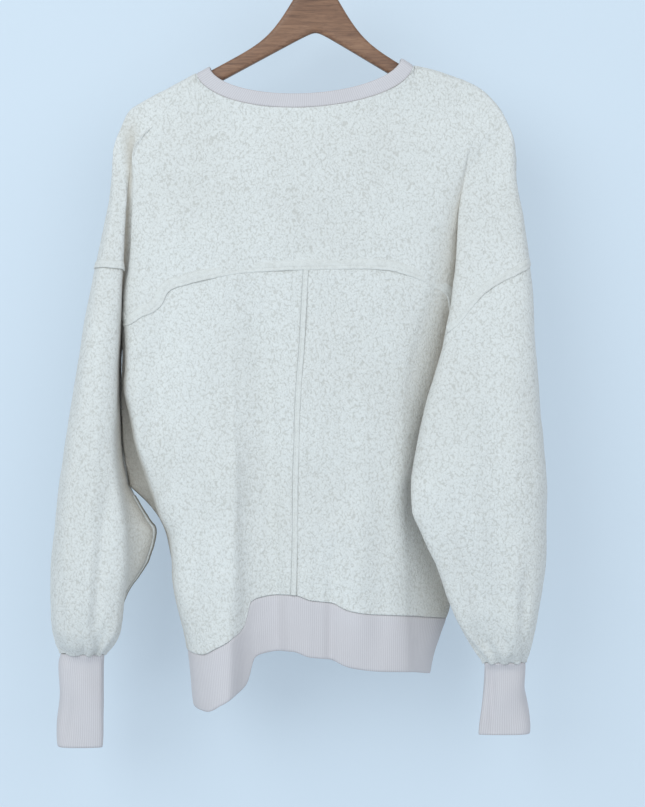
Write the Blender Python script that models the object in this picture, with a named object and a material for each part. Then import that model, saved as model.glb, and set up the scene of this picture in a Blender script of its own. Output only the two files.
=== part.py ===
"""A sherpa fleece pullover with ribbed neck, cuffs and hem, hung back outwards on a wooden hanger.

Tables and sizes are in millimetres, in the garment's own three directions:
  across  to the right of someone who looks at the garment's back   (+X)
  out     from the hanger towards that person                       (-Y)
  down    below the seat of the hanger's hook, which is the origin  (-Z)

The cloth is two hanging sheets, the back (out > 0) and the front (out < 0). At each height a sheet
crosses three lobes: the left sleeve, the body and the right sleeve. The lobes meet in two grooves,
which deepen downwards until front and back touch at the underarms. Below those points the body
and the sleeves are three separate tubes.
"""

import math

import bpy
import numpy as np

MM = 0.001
FLEECE_WALL = 3.0
RIB_WALL = 2.0
SEAM_INSET = 0.25
GROOVE_INSET = 0.3
SLEEVE_INSET = 0.5
HEM_CLEARANCE = 0.5
ARMHOLE_CLEARANCE = 0.6
FOLD_RADIUS = 8.0
NECK_FOLD = 60.0

# Neck opening: the two shoulder points, and how far the seams and the band's free edge drop.
NECK_SEAM = {"left": -137.0, "right": 112.0, "left_down": 176.0, "right_down": 168.0}
NECK_EDGE = {"left": -122.0, "right": 98.0, "left_down": 168.5, "right_down": 159.0}
SEAM_DROP = {"back": 48.0, "front": 122.0}
EDGE_DROP = {"back": 38.0, "front": 108.0}
BRIM_OUT = {"back": 15.0, "front": -22.0}

# Grid counts: cells across one lobe, across the body, and down each stretch.
LOBE_COLUMNS = np.array([0.0, 0.1, 0.2, 0.3, 0.4, 0.5, 0.6, 0.7, 0.8, 0.93, 1.0])
LOBE_CELLS = len(LOBE_COLUMNS) - 1
BODY_CELLS = 28
YOKE_ROWS = 8
PANEL_ROWS = 8
CAP_ROWS = 6
TUBE_ROWS = 9
CUFF_ROWS = 3
RIB_ROWS = 3
BAND_CELLS = 32
NECK_MARGIN = 6 / 28
BAND_ROWS = 2
BAND_START = 0.04

RIB_DEPTH = {"back": 63.0, "front": 62.0}
CUFF_SEAM = {"left": 842.0, "right": 850.0}
CUFF_END = {"left": 948.0, "right": 932.0}


def table(names, *rows):
    """Named columns of numbers from a row for each section."""
    return {name: np.array(column, float) for name, column in zip(names.split(), zip(*rows))}


# The left sleeve's lobe. outer: silhouette; turn: where the near face begins; near and far: how far
# out its two faces lie; edge: the roll beside the body; mid: the silhouette's place out;
# web, web_out: the inner corner of the far face.
LEFT_SLEEVE = table(
    "down outer turn near edge mid far web web_out",
    (160, -236, -232, 12, -211, 0, -12, -216, -12),
    (224, -236, -231, 14, -211, 0, -14, -216, -14),
    (292, -235, -228, 20, -213, 0, -16, -219, -15),
    (349, -243, -234, 29, -216, 0, -21, -224, -19),
    (405, -254, -245, 37, -218, 0, -26, -226, -22),
    (473, -267, -254, 45, -222, -2, -31, -228, -25),
    (541, -277, -262, 51, -225, -4, -35, -226, -26),
    (597, -286, -270, 54, -226, -6, -38, -225, -28),
    (650, -294, -275, 56, -219, -8, -40, -216, -28),
    (701, -300, -279, 57, -211, -9, -41, -196, -26),
    (733, -304, -281, 57, -211, -10, -42, -202, -26),
    (778, -306, -284, 55, -216, -10, -42, -222, -28),
    (812, -303, -285, 48, -221, -8, -38, -230, -28),
    (831, -298, -283, 37, -232, -6, -31, -238, -24),
    (842, -294, -281, 26, -241, -4, -24, -244, -19),
    (852, -296, -283, 22, -243, -2, -22, -246, -18),
    (900, -297, -285, 21, -243, -2, -20, -246, -16),
    (960, -298, -290, 20, -243, -2, -19, -246, -15),
)

# The right sleeve's lobe, which overhangs the body.
RIGHT_SLEEVE = table(
    "down outer turn near edge mid far web web_out",
    (160, 231, 227, 12, 186, 0, -12, 192, -12),
    (224, 231, 226, 14, 184, 0, -14, 190, -14),
    (292, 231, 225, 21, 171, 0, -14, 182, -14),
    (349, 239, 231, 31, 161, 0, -17, 176, -16),
    (405, 246, 236, 41, 157, 0, -19, 172, -17),
    (441, 249, 238, 46, 153, 2, -20, 170, -18),
    (480, 250, 238, 52, 145, 3, -20, 166, -18),
    (519, 253, 238, 57, 134, 4, -20, 160, -17),
    (563, 256, 240, 62, 122, 5, -20, 156, -16),
    (608, 260, 242, 66, 112, 6, -20, 156, -10),
    (637, 262, 243, 68, 107, 7, -20, 160, -6),
    (652, 263, 243, 69, 106, 7, -20, 164, 2),
    (675, 263, 243, 69, 107, 8, -20, 168, 4),
    (697, 263, 244, 68, 116, 8, -20, 174, 3),
    (736, 262, 243, 65, 135, 8, -20, 176, 0),
    (775, 257, 242, 61, 149, 8, -20, 178, -2),
    (814, 249, 238, 54, 166, 8, -18, 190, -6),
    (836, 243, 234, 44, 180, 8, -14, 200, -8),
    (850, 240, 232, 33, 190, 6, -10, 206, -8),
    (860, 240, 232, 28, 192, 5, -9, 206, -8),
    (900, 243, 234, 27, 188, 4, -9, 202, -8),
    (950, 248, 238, 26, 182, 4, -9, 198, -8),
)

# The body. left and right: where its back turns away; near_*: how far out the back lies there;
# centre: its middle seam; far: how far the front lies behind the hanger.
BODY = table(
    "down left near_left near centre near_right right far",
    (160, -196, 12, 12, -4, 12, 170, -12),
    (224, -203, 15, 17, -4, 15, 172, -16),
    (271, -207, 23, 27, -4, 24, 168, -25),
    (327, -210, 29, 34, -4, 31, 150, -31),
    (384, -212, 33, 39, -4, 35, 138, -36),
    (428, -212, 35, 41, -6, 37, 131, -38),
    (484, -214, 37, 43, -8, 39, 117, -41),
    (540, -216, 39, 46, -12, 41, 108, -44),
    (572, -209, 40, 47, -14, 42, 106, -45),
    (600, -204, 42, 48, -15, 42, 106, -46),
    (630, -194, 43, 49, -17, 42, 106, -47),
    (684, -176, 45, 51, -19, 42, 107, -49),
    (709, -165, 46, 52, -20, 42, 108, -50),
    (760, -160, 48, 53, -22, 43, 109, -50),
    (839, -143, 50, 53, -25, 45, 112, -48),
    (910, -136, 46, 49, -27, 43, 112, -45),
)

# Where sleeve and body meet, down to each underarm.
LEFT_GROOVE = table(
    "down across near far",
    (160, -211, 12, -12),
    (224, -211, 14, -14),
    (270, -211, 18, -15),
    (322, -215, 17, -14),
    (405, -220, 14, -12),
    (473, -222, 11, -9),
    (541, -224, 7, -6),
    (600, -223, 3, -3),
    (650, -216, 0, 0),
)
RIGHT_GROOVE = table(
    "down across near far",
    (160, 186, 12, -12),
    (224, 184, 14, -14),
    (270, 174, 22, -14),
    (327, 164, 22, -14),
    (384, 161, 19, -12),
    (441, 158, 15, -10),
    (474, 152, 12, -8),
    (519, 145, 9, -6),
    (563, 139, 6, -4),
    (605, 135, 3, -2),
    (637, 132, 0, 0),
)

# Below the underarms: the sleeves' own seams and the body's side seams.
LEFT_UNDERARM = table(
    "down across out",
    (650, -216, 0),
    (668, -205, 2),
    (690, -191, 5),
    (701, -184, 6),
    (733, -192, 3),
    (776, -219, -1),
    (812, -230, -2),
    (842, -243, 0),
    (960, -245, 0),
)
RIGHT_UNDERARM = table(
    "down across out",
    (637, 132, 0),
    (645, 124, 18),
    (655, 119, 32),
    (675, 114, 42),
    (697, 121, 40),
    (736, 139, 38),
    (775, 153, 34),
    (814, 170, 30),
    (850, 192, 16),
    (950, 184, 12),
)
LEFT_SIDE = table(
    "down across out",
    (650, -216, 0),
    (668, -197, -3),
    (690, -181, -5),
    (709, -173, -6),
    (733, -168, -7),
    (778, -160, -7),
    (839, -146, -6),
    (910, -139, -5),
)
RIGHT_SIDE = table(
    "down across out",
    (637, 132, 0),
    (650, 136, -6),
    (668, 142, -8),
    (710, 153, -8),
    (756, 158, -9),
    (790, 155, -8),
    (823, 144, -6),
    (863, 133, -5),
    (910, 131, -5),
)

# The top edge outside the neck: the shoulders, which the hanger holds, and the two shoulder ends.
SHOULDER = table(
    "across down",
    (-236, 292),
    (-232, 262),
    (-224, 239),
    (-214, 219),
    (-204, 212),
    (-180, 199),
    (-150, 183.5),
    (-141, 178.5),
    (-133, 175.5),
    (-100, 174),
    (105, 167.5),
    (125, 169.5),
    (150, 177),
    (186, 191),
    (205, 209),
    (217, 228),
    (226, 252),
    (231, 280),
)

# Where the sheets' columns start along the top edge; lobes counts 1 for each lobe passed.
TOP_COLUMNS = table(
    "lobes across",
    (0, -235),
    (0.5, -228),
    (1, -208),
    (1 + 5 / 28, -144),
    (1 + 6 / 28, -137),
    (1 + 7 / 28, -135.5),
    (1 + 8 / 28, -125),
    (1.5, -12.5),
    (2 - 8 / 28, 100),
    (2 - 7 / 28, 110.5),
    (2 - 6 / 28, 112),
    (2 - 5 / 28, 119),
    (2, 184),
    (2.5, 215),
    (3, 230),
)
TOP_SPREAD = 90.0
LEVEL_SEAM = 0.045

# The yoke's lower edge: the seam across the back, then the two armhole seams around the lobes,
# where around runs from 0 at the silhouette to 1 in the groove.
YOKE_SEAM = table(
    "across down",
    (-222, 468),
    (-213, 467),
    (-198, 459),
    (-175, 445),
    (-167, 430),
    (-147, 422),
    (-119, 415),
    (-85, 409),
    (-7, 405),
    (50, 404),
    (78, 405),
    (106, 412),
    (131, 422),
    (147, 431),
    (158, 446),
)
LEFT_ARMHOLE = table("around down", (0, 401), (0.5, 403), (0.8, 406), (0.93, 460), (1, 460))
RIGHT_ARMHOLE = table(
    "around down", (0, 394), (0.2, 406), (0.4, 432), (0.6, 472), (0.8, 484), (0.93, 454), (1, 454)
)

# The seam between the fleece and the ribbed hem, along the back and the front.
BACK_HEM = table(
    "across down",
    (-150, 833),
    (-128, 836),
    (-111, 828),
    (-92, 817),
    (-80, 806),
    (-72, 778),
    (-60, 773),
    (-26, 770),
    (-6, 776),
    (16, 779),
    (38, 788),
    (61, 792),
    (100, 795),
    (124, 799),
    (156, 804),
)
FRONT_HEM = table(
    "across down", (-150, 833), (-120, 806), (-90, 790), (-20, 781), (60, 785), (110, 796), (156, 804)
)

# Folds: a ridge (lift > 0) or a trough along a line from top to bottom, with its two half widths.
BACK_FOLDS = table(
    "top bottom top_across bottom_across left right lift_top lift_bottom",
    (400, 690, -168, -184, 14, 14, -3, -5),
    (520, 990, -92, -99, 36, 13, 1, 25),
    (380, 990, -62, -38, 32, 11, -3, -15),
    (700, 880, 19, 16, 7, 6, -3, -5),
)
FRONT_FOLDS = table(
    "top bottom top_across bottom_across left right lift_top lift_bottom",
    (420, 990, -70, -92, 30, 24, 2, 11),
    (380, 990, 12, 26, 26, 30, -3, -9),
    (460, 990, 84, 78, 22, 28, 1, 8),
)
LEFT_SLEEVE_FOLDS = table(
    "top bottom top_across bottom_across left right lift_top lift_bottom",
    (620, 852, -230, -252, 9, 9, -4, -7),
)
RIGHT_SLEEVE_FOLDS = table(
    "top bottom top_across bottom_across left right lift_top lift_bottom",
    (560, 852, 186, 206, 20, 16, -2, -5),
)

# Hanger.
HANGER_HALF_LENGTH = 204.0
HANGER_CELLS = 32
HANGER_CROWDING = 1.15
HANGER_TIP = 8.0
HANGER_SQUARENESS = 0.6
HANGER_THICKNESS = 11.0
HANGER_ARM = 18.5
HANGER_UNDER = 130.0
HANGER_SLOPE = 0.57
HANGER_TILT = 0.03
HANGER_APEX_ROUND = 6.0
HANGER_HUMP = 50.0
HANGER_HUMP_WIDTH = 38.0
HOOK_WIRE = 3.4
HOOK_INNER_RADIUS = 19.0
HOOK_TURN = (-58.0, 205.0)
HOOK_CELLS = 22


def smooth(q):
    """Smooth step from 0 at q = 0 to 1 at q = 1."""
    q = np.clip(q, 0.0, 1.0)
    return q * q * (3.0 - 2.0 * q)


def read(rows, name, at, key="down"):
    """One column's value at a place along the table: a cubic between rows, level at extremes."""
    x, y = rows[key], rows[name]
    at = np.clip(at, x[0], x[-1])
    run = np.diff(x)
    rise = np.diff(y) / run
    slope = np.zeros_like(y)
    same = rise[:-1] * rise[1:] > 0
    weight = run[1:] / (run[:-1] + run[1:])
    with np.errstate(divide="ignore", invalid="ignore"):
        mean = 1.0 / (weight / rise[:-1] + (1.0 - weight) / rise[1:])
    slope[1:-1] = np.where(same, mean, 0.0)
    slope[0], slope[-1] = rise[0], rise[-1]
    i = np.clip(np.searchsorted(x, at, side="right") - 1, 0, len(x) - 2)
    q = (at - x[i]) / run[i]
    start = (1 + 2 * q) * (1 - q) ** 2 * y[i] + q * (1 - q) ** 2 * run[i] * slope[i]
    return start + q * q * (3 - 2 * q) * y[i + 1] + q * q * (q - 1) * run[i] * slope[i + 1]


def bend(points, a):
    """Quadratic B-spline from the first point to the last, at a from 0 to 1; it touches every
    side of the control polygon at its middle."""
    count = len(points)
    knots = np.concatenate(([0, 0], np.arange(count - 1), [count - 2] * 2)) / (count - 2)
    a = np.clip(a, 0.0, 1.0 - 1e-9)
    weights = [((a >= knots[i]) & (a < knots[i + 1])).astype(float) for i in range(count + 2)]
    for degree in (1, 2):
        raised = []
        for i in range(count + 2 - degree):
            low, high = knots[i + degree] - knots[i], knots[i + degree + 1] - knots[i + 1]
            value = (a - knots[i]) / low * weights[i] if low > 0 else 0.0 * a
            if high > 0:
                value = value + (knots[i + degree + 1] - a) / high * weights[i + 1]
            raised.append(value)
        weights = raised
    across = sum(w * p[0] for w, p in zip(weights, points))
    out = sum(w * p[1] for w, p in zip(weights, points))
    return across, out


def folds(rows, across, down):
    """Sum of the table's ridges and troughs at each point, in millimetres out."""
    total = np.zeros_like(across)
    for top, bottom, top_x, bottom_x, left, right, lift_top, lift_bottom in zip(*rows.values()):
        along = np.clip((down - top) / (bottom - top), 0.0, 1.0)
        offset = across - (top_x + (bottom_x - top_x) * along)
        width = np.where(offset < 0, left, right)
        ends = smooth(along / 0.25) * smooth((1.0 - along) / 0.15)
        total += ends * (lift_top + (lift_bottom - lift_top) * along) * np.exp(-((offset / width) ** 2))
    return total


def groove(side, face, down, inset):
    """Where a lobe's face ends beside the body: the groove above the underarm, and the given
    tube's own seam below it."""
    rows = LEFT_GROOVE if side == "left" else RIGHT_GROOVE
    seams = {"sleeve": (LEFT_UNDERARM, RIGHT_UNDERARM), "body": (LEFT_SIDE, RIGHT_SIDE)}[inset]
    seam = seams[side == "right"]
    underarm = rows["down"][-1]
    across = np.where(down < underarm, read(rows, "across", down), read(seam, "across", down))
    out = np.where(down < underarm, read(rows, face, down), read(seam, "out", down))
    entry = (LEFT_ARMHOLE if side == "left" else RIGHT_ARMHOLE)["down"][-1]
    away = GROOVE_INSET * smooth((down - entry) / 2.0)
    towards_sleeve = (-1 if side == "left" else 1) * (1 if inset == "sleeve" else -1)
    return across + towards_sleeve * away, out


def sleeve_lobe(side, face, a, down):
    """Across and out on a sleeve's face, from the silhouette (a = 0) to the groove (a = 1)."""
    rows = LEFT_SLEEVE if side == "left" else RIGHT_SLEEVE
    names = ("outer", "turn", "near", "edge", "mid", "far", "web", "web_out")
    outer, turn, near, edge, mid, far, web, web_out = (read(rows, name, down) for name in names)
    end, end_out = groove(side, face, down, "sleeve")
    if face == "near":
        rise = near - end_out
        points = (
            (outer, mid),
            (outer, mid + 0.5 * (near - mid)),
            (turn, near),
            (0.5 * (turn + edge), near + 0.05 * rise),
            (edge + 0.22 * (turn - edge), near),
            (edge, near - 0.12 * rise),
            (edge, near - 0.55 * rise),
            (end, end_out + 0.22 * rise),
            (end, end_out),
        )
    else:
        drop = np.maximum(end_out - web_out, 2.0)
        points = (
            (outer, mid),
            (outer, mid + 0.6 * (far - mid)),
            (outer + 0.22 * (web - outer), far),
            (0.5 * (outer + web), far),
            (web, web_out),
            (end, end_out - 0.18 * drop),
            (end, end_out),
        )
    across, out = bend(points, a)
    if face == "near":
        rows = LEFT_SLEEVE_FOLDS if side == "left" else RIGHT_SLEEVE_FOLDS
        out = out + folds(rows, across, down) * smooth(a / 0.2) * smooth((0.8 - a) / 0.15)
    return across, out


def body_face(face, v, down):
    """Across and out on the body's back or front, from its left end (v = 0) to its right end."""
    names = ("left", "near_left", "near", "centre", "near_right", "right", "far")
    left, near_left, near, centre, near_right, right, far = (read(BODY, name, down) for name in names)
    left_end, left_out = groove("left", face, down, "body")
    right_end, right_out = groove("right", face, down, "body")
    if face == "near":
        sides, level = (near_left, near_right), near
    else:
        sides, level = (0.9 * far, 0.9 * far), far
        right = right_end + 0.5 * (right - right_end)
    points = (
        (left_end, left_out),
        (left_end, left_out + 0.25 * (sides[0] - left_out)),
        (left - 3, left_out + 0.75 * (sides[0] - left_out)),
        (left + 14, sides[0]),
        (0.5 * (left + centre), level),
        (centre, level),
        (0.5 * (right + centre), level),
        (right - 14, sides[1]),
        (right + 3, right_out + 0.6 * (sides[1] - right_out)),
        (right_end, right_out + 0.1 * (sides[1] - right_out)),
        (right_end, right_out),
    )
    across, out = bend(points, v)
    rows, sign = (BACK_FOLDS, 1.0) if face == "near" else (FRONT_FOLDS, -1.0)
    inside = smooth(v / 0.22) * smooth((1.0 - v) / 0.2)
    return across, out + sign * inside * folds(rows, across, down)


def neck_arc(rim, across):
    """Height of the neck opening's half ellipse, 1 in the middle and 0 at the shoulder points."""
    middle = 0.5 * (rim["left"] + rim["right"])
    half = 0.5 * (rim["right"] - rim["left"])
    return np.sqrt(np.clip(1.0 - ((across - middle) / half) ** 2, 0.0, 1.0))


def over_arm(drop):
    """How far the neck opening has come round the hanger's arm, 0 to 1, at a drop below its top."""
    return np.sqrt(1.0 - (1.0 - np.clip(drop / FOLD_RADIUS, 0.0, 1.0)) ** 2)


def top_edge(face, across):
    """Down to the sheet's top edge: the shoulders, dipped by the neck's half ellipse."""
    side = "back" if face == "near" else "front"
    return read(SHOULDER, "down", across, "across") + SEAM_DROP[side] * neck_arc(NECK_SEAM, across)


def sheet(face, u, down):
    """A point of the back or front sheet; u runs 0 to 1 over the left sleeve's lobe, to 2 over the
    body and to 3 over the right sleeve's. Near its top edge the sheet rounds over the shoulder."""
    u, down = np.broadcast_arrays(np.asarray(u, float), np.asarray(down, float))
    left = sleeve_lobe("left", face, u, down)
    body = body_face(face, u - 1.0, down)
    right = sleeve_lobe("right", face, 3.0 - u, down)
    across = np.where(u < 1, left[0], np.where(u < 2, body[0], right[0]))
    out = np.where(u < 1, left[1], np.where(u < 2, body[1], right[1]))
    start = read(TOP_COLUMNS, "across", u, "lobes")
    below = down - top_edge(face, start)
    across = start + (across - start) * smooth(below / TOP_SPREAD)
    arc = neck_arc(NECK_SEAM, across)
    side = "back" if face == "near" else "front"
    brim = BRIM_OUT[side] * over_arm(SEAM_DROP[side] * arc)
    below = np.clip(below / (FOLD_RADIUS + NECK_FOLD * arc), 0.0, 1.0)
    out = brim + (out - brim) * np.sqrt(1.0 - (1.0 - below) ** 2)
    return np.stack([across, -out, -down], axis=-1)


def sleeve(side, around, down):
    """A point of a sleeve; around runs from 0 in the groove over the near face to 1 at the
    silhouette, and over the far face to 2 in the groove again."""
    around, down = np.broadcast_arrays(np.asarray(around, float), np.asarray(down, float))
    near = sleeve_lobe(side, "near", 1.0 - around, down)
    far = sleeve_lobe(side, "far", around - 1.0, down)
    across = np.where(around <= 1, near[0], far[0])
    out = np.where(around <= 1, near[1], far[1])
    return np.stack([across, -out, -down], axis=-1)


def normals(surface, first, second, low, high):
    """Unit normals of surface(first, second), from small steps that stay between low and high."""
    after, before = np.minimum(first + 2e-3, high), np.maximum(first - 2e-3, low)
    across = surface(after, second) - surface(before, second)
    along = surface(first, second + 0.5) - surface(first, second - 0.5)
    normal = np.cross(across, along)
    return normal / np.linalg.norm(normal, axis=-1, keepdims=True)


def settle(height, across_of, start):
    """The depth at which each column meets a line that is given over across."""
    down = start
    for _ in range(6):
        down = height(across_of(down))
    return down


def material(name, colour, roughness, metallic=0.0):
    made = bpy.data.materials.new(name)
    made.use_nodes = True
    shader = made.node_tree.nodes["Principled BSDF"]
    shader.inputs["Base Color"].default_value = (*colour, 1.0)
    shader.inputs["Roughness"].default_value = roughness
    shader.inputs["Metallic"].default_value = metallic
    return made


def add_object(name, points, faces, finish):
    mesh = bpy.data.meshes.new(name)
    mesh.from_pydata((np.asarray(points) * MM).tolist(), [], faces)
    mesh.update()
    mesh.shade_smooth()
    mesh.set_sharp_from_angle(angle=math.radians(50))
    mesh.materials.append(finish)
    made = bpy.data.objects.new(name, mesh)
    bpy.context.scene.collection.objects.link(made)
    return made


def cloth_wall(name, grid, normal, thickness, finish, index=None, cells=None, inset=SEAM_INSET):
    """A wall with the grid as its outer face. index joins grid points that are one; cells says
    which cells are cloth. Every free edge is drawn in by the inset."""
    rows, columns = grid.shape[:2]
    if index is None:
        index = np.arange(rows * columns).reshape(rows, columns)
    if cells is None:
        cells = np.ones((rows - 1, columns - 1), bool)
    quads = np.stack([index[:-1, :-1], index[1:, :-1], index[1:, 1:], index[:-1, 1:]], axis=-1)[cells]
    points, normal = grid.reshape(-1, 3).copy(), normal.reshape(-1, 3)
    corner = points[quads[:, 0]]
    facing = np.cross(points[quads[:, 1]] - corner, points[quads[:, 3]] - corner)
    if (facing * normal[quads[:, 0]]).sum() < 0:
        quads = quads[:, ::-1]
    turned = [q[i:] + q[:i] for q in quads.tolist() for i in range(4)]
    sides = {(a, b): (c, d) for a, b, c, d in turned}
    free = {edge: opposite for edge, opposite in sides.items() if edge[::-1] not in sides}
    shift = np.zeros_like(points)
    for (a, b), (c, d) in free.items():
        edge = (points[b] - points[a]) / np.linalg.norm(points[b] - points[a])
        for point, inside in ((a, d), (b, c)):
            way = points[inside] - points[point]
            way = way - np.dot(way, edge) * edge
            shift[point] += 0.5 * way / np.linalg.norm(way)
    points += inset * shift
    inner = points - thickness * normal
    used = np.unique(quads)
    place = {old: new for new, old in enumerate(used.tolist())}
    count = len(used)
    outer_faces = [[place[i] for i in q] for q in quads.tolist()]
    inner_faces = [[count + place[i] for i in reversed(q)] for q in quads.tolist()]
    rims = [[place[b], place[a], count + place[a], count + place[b]] for a, b in free]
    every = np.concatenate([points[used], inner[used]])
    return add_object(name, every, outer_faces + inner_faces + rims, finish)


def even(low, high, cells):
    return np.linspace(low, high, cells + 1)


def top_rows(count):
    """Row places from 0 to 1, closer together near the shoulder's fold."""
    return even(0.0, 1.0, count) ** 1.6


def sheet_columns():
    """Column places over the three lobes."""
    return np.concatenate([LOBE_COLUMNS[:-1], even(1, 2, BODY_CELLS)[:-1], 3.0 - LOBE_COLUMNS[::-1]])


def yoke_line(face, u):
    """Down to the yoke's lower edge, on every column of a sheet."""
    across = lambda down: sheet(face, u, down)[..., 0]
    body = settle(lambda x: read(YOKE_SEAM, "down", x, "across"), across, np.full_like(u, 420.0))
    left_end, right_end = LEFT_ARMHOLE["down"][-1], RIGHT_ARMHOLE["down"][-1]
    body = left_end + (body - left_end) * smooth((u - 1.0 - LEVEL_SEAM) / 0.05)
    body = right_end + (body - right_end) * smooth((2.0 - u - LEVEL_SEAM) / 0.05)
    left = read(LEFT_ARMHOLE, "down", u, "around")
    right = read(RIGHT_ARMHOLE, "down", 3.0 - u, "around")
    return np.where(u < 1, left, np.where(u < 2, body, right))


def top_line(face, u):
    """Down to the top edge, on every column of a sheet."""
    return top_edge(face, read(TOP_COLUMNS, "across", u, "lobes"))


def hem_line(face, u):
    """Down to the ribbed hem's seam, on every column of the body."""
    rows = BACK_HEM if face == "near" else FRONT_HEM
    across = lambda down: sheet(face, u, down)[..., 0]
    return settle(lambda x: read(rows, "down", x, "across"), across, np.full_like(u, 800.0))


def rows_through(start, middle, end, count):
    """Rows of depths from start to end, with count rows above and below the middle line."""
    upper = start + (middle - start) * even(0, 1, count)[:, None]
    lower = middle + (end - middle) * even(0, 1, count)[1:, None]
    return np.concatenate([upper, lower])


def sheet_normals(face, u, down):
    """Normals of a sheet, taken inside each lobe, and square to the fold where two sheets meet."""
    lobe = np.clip(np.floor(u), 0, 2)
    normal = normals(lambda p, q: sheet(face, p, q), u, down, lobe + 1e-6, lobe + 1 - 1e-6)
    return -normal if face == "near" else normal


def top_normals(face, u):
    """Normals along a sheet's top edge, level where it folds over the shoulder."""
    top = top_line(face, u)
    normal = sheet_normals(face, u, top + 1.5)
    on_shoulder = neck_arc(NECK_SEAM, read(TOP_COLUMNS, "across", u, "lobes")) < 1e-3
    normal[on_shoulder, 1] = 0
    return normal / np.linalg.norm(normal, axis=-1, keepdims=True)


def build_sheets(fleece):
    u = sheet_columns()
    for face, names in (("near", ("back_yoke", "back_left", "back_right")), ("far", ("front",))):
        top, seam = top_line(face, u), yoke_line(face, u)
        upper = top + (seam - top) * top_rows(YOKE_ROWS)[:, None]
        inside = slice(LOBE_CELLS, LOBE_CELLS + BODY_CELLS + 1)
        body_u = u[inside].copy()
        body_u[-1] = 2 - 1e-7
        hem = hem_line(face, body_u)
        left_end, right_end = LEFT_UNDERARM["down"][0], RIGHT_UNDERARM["down"][0]
        underarm = left_end + (right_end - left_end) * (body_u - 1)
        lower = rows_through(seam[inside], underarm, hem, PANEL_ROWS // 2)
        ones = np.ones((YOKE_ROWS + 1, 1))
        below_fold = upper + 1.5 * (np.arange(YOKE_ROWS + 1) == 0)[:, None]
        upper_points, upper_normal = sheet(face, u, upper), sheet_normals(face, u * ones, below_fold)
        upper_normal[0] = top_normals(face, u)
        upper_normal[:, [0, -1], 1] = 0
        for column in (LOBE_CELLS, LOBE_CELLS + BODY_CELLS):
            upper_normal[1:, column] = upper_normal[1:, column - 1] + upper_normal[1:, column + 1]
        upper_normal /= np.linalg.norm(upper_normal, axis=-1, keepdims=True)
        panel_u = body_u * np.ones((PANEL_ROWS + 1, 1))
        lower_points, lower_normal = sheet(face, panel_u, lower), sheet_normals(face, panel_u, lower)
        lower_normal[:, [0, -1], 1] = 0
        lower_normal /= np.linalg.norm(lower_normal, axis=-1, keepdims=True)
        if face == "near":
            middle = BODY_CELLS // 2
            cloth_wall(names[0], upper_points, upper_normal, FLEECE_WALL, fleece)
            for name, part in ((names[1], slice(0, middle + 1)), (names[2], slice(middle, None))):
                cloth_wall(name, lower_points[:, part], lower_normal[:, part], FLEECE_WALL, fleece)
        else:
            points, normal = full_front(upper_points, lower_points), full_front(upper_normal, lower_normal)
            cells = np.ones((YOKE_ROWS + PANEL_ROWS, len(u) - 1), bool)
            cells[YOKE_ROWS:, :LOBE_CELLS] = cells[YOKE_ROWS:, -LOBE_CELLS:] = False
            cloth_wall(names[0], points, normal, FLEECE_WALL, fleece, cells=cells)


def full_front(upper, lower):
    """The front's one grid: its upper rows over all lobes, then its lower rows over the body."""
    below = np.zeros((len(lower) - 1, *upper.shape[1:]))
    below[:, LOBE_CELLS : LOBE_CELLS + BODY_CELLS + 1] = lower[1:]
    below[:, : LOBE_CELLS] = below[:, -LOBE_CELLS:] = upper[-1, 0]
    return np.concatenate([upper, below])


def closed_columns(rows, columns, open_rows):
    """Grid indices whose last column is the first one, from open_rows down."""
    index = np.arange(rows * columns).reshape(rows, columns)
    index[open_rows:, -1] = index[open_rows:, 0]
    return index


def sleeve_normals(side, around, down):
    """Normals of a sleeve, which point away from the garment at its silhouette."""
    lobe = np.where(around <= 1, 0.0, 1.0)
    normal = normals(lambda p, q: sleeve(side, p, q), around, down, lobe + 1e-6, lobe + 1 - 1e-6)
    away = -1.0 if side == "left" else 1.0
    return normal * np.sign(away * normal[:, around.shape[1] // 2, 0].sum())


def build_sleeves(fleece, rib):
    around = np.concatenate([1.0 - LOBE_COLUMNS[::-1], 1.0 + LOBE_COLUMNS[1:]])
    for side in ("left", "right"):
        armhole = LEFT_ARMHOLE if side == "left" else RIGHT_ARMHOLE
        underarm = (LEFT_GROOVE if side == "left" else RIGHT_GROOVE)["down"][-1]
        start = read(armhole, "down", np.abs(1.0 - around), "around") + ARMHOLE_CLEARANCE
        cap = start + (underarm - start) * even(0, 1, CAP_ROWS)[:, None]
        tube = underarm + (CUFF_SEAM[side] - underarm) * even(0, 1, TUBE_ROWS)[1:, None] ** 0.85
        down = np.concatenate([cap, tube * np.ones_like(around)])
        turn = around * np.ones((len(down), 1))
        turn[:, -1] = 2 - 1e-9
        points, normal = sleeve(side, turn, down), sleeve_normals(side, turn, down)
        normal[:, [0, -1], 1] = 0
        normal /= np.linalg.norm(normal, axis=-1, keepdims=True)
        index = closed_columns(*points.shape[:2], CAP_ROWS)
        cloth_wall(f"sleeve_{side}", points, normal, FLEECE_WALL, fleece, index, inset=SLEEVE_INSET)
        down = even(CUFF_SEAM[side], CUFF_END[side], CUFF_ROWS)[:, None] * np.ones_like(around)
        turn = turn[: len(down)]
        points, normal = sleeve(side, turn, down), sleeve_normals(side, turn, down)
        cloth_wall(f"cuff_{side}", points, normal, RIB_WALL, rib, closed_columns(*points.shape[:2], 0))


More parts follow.
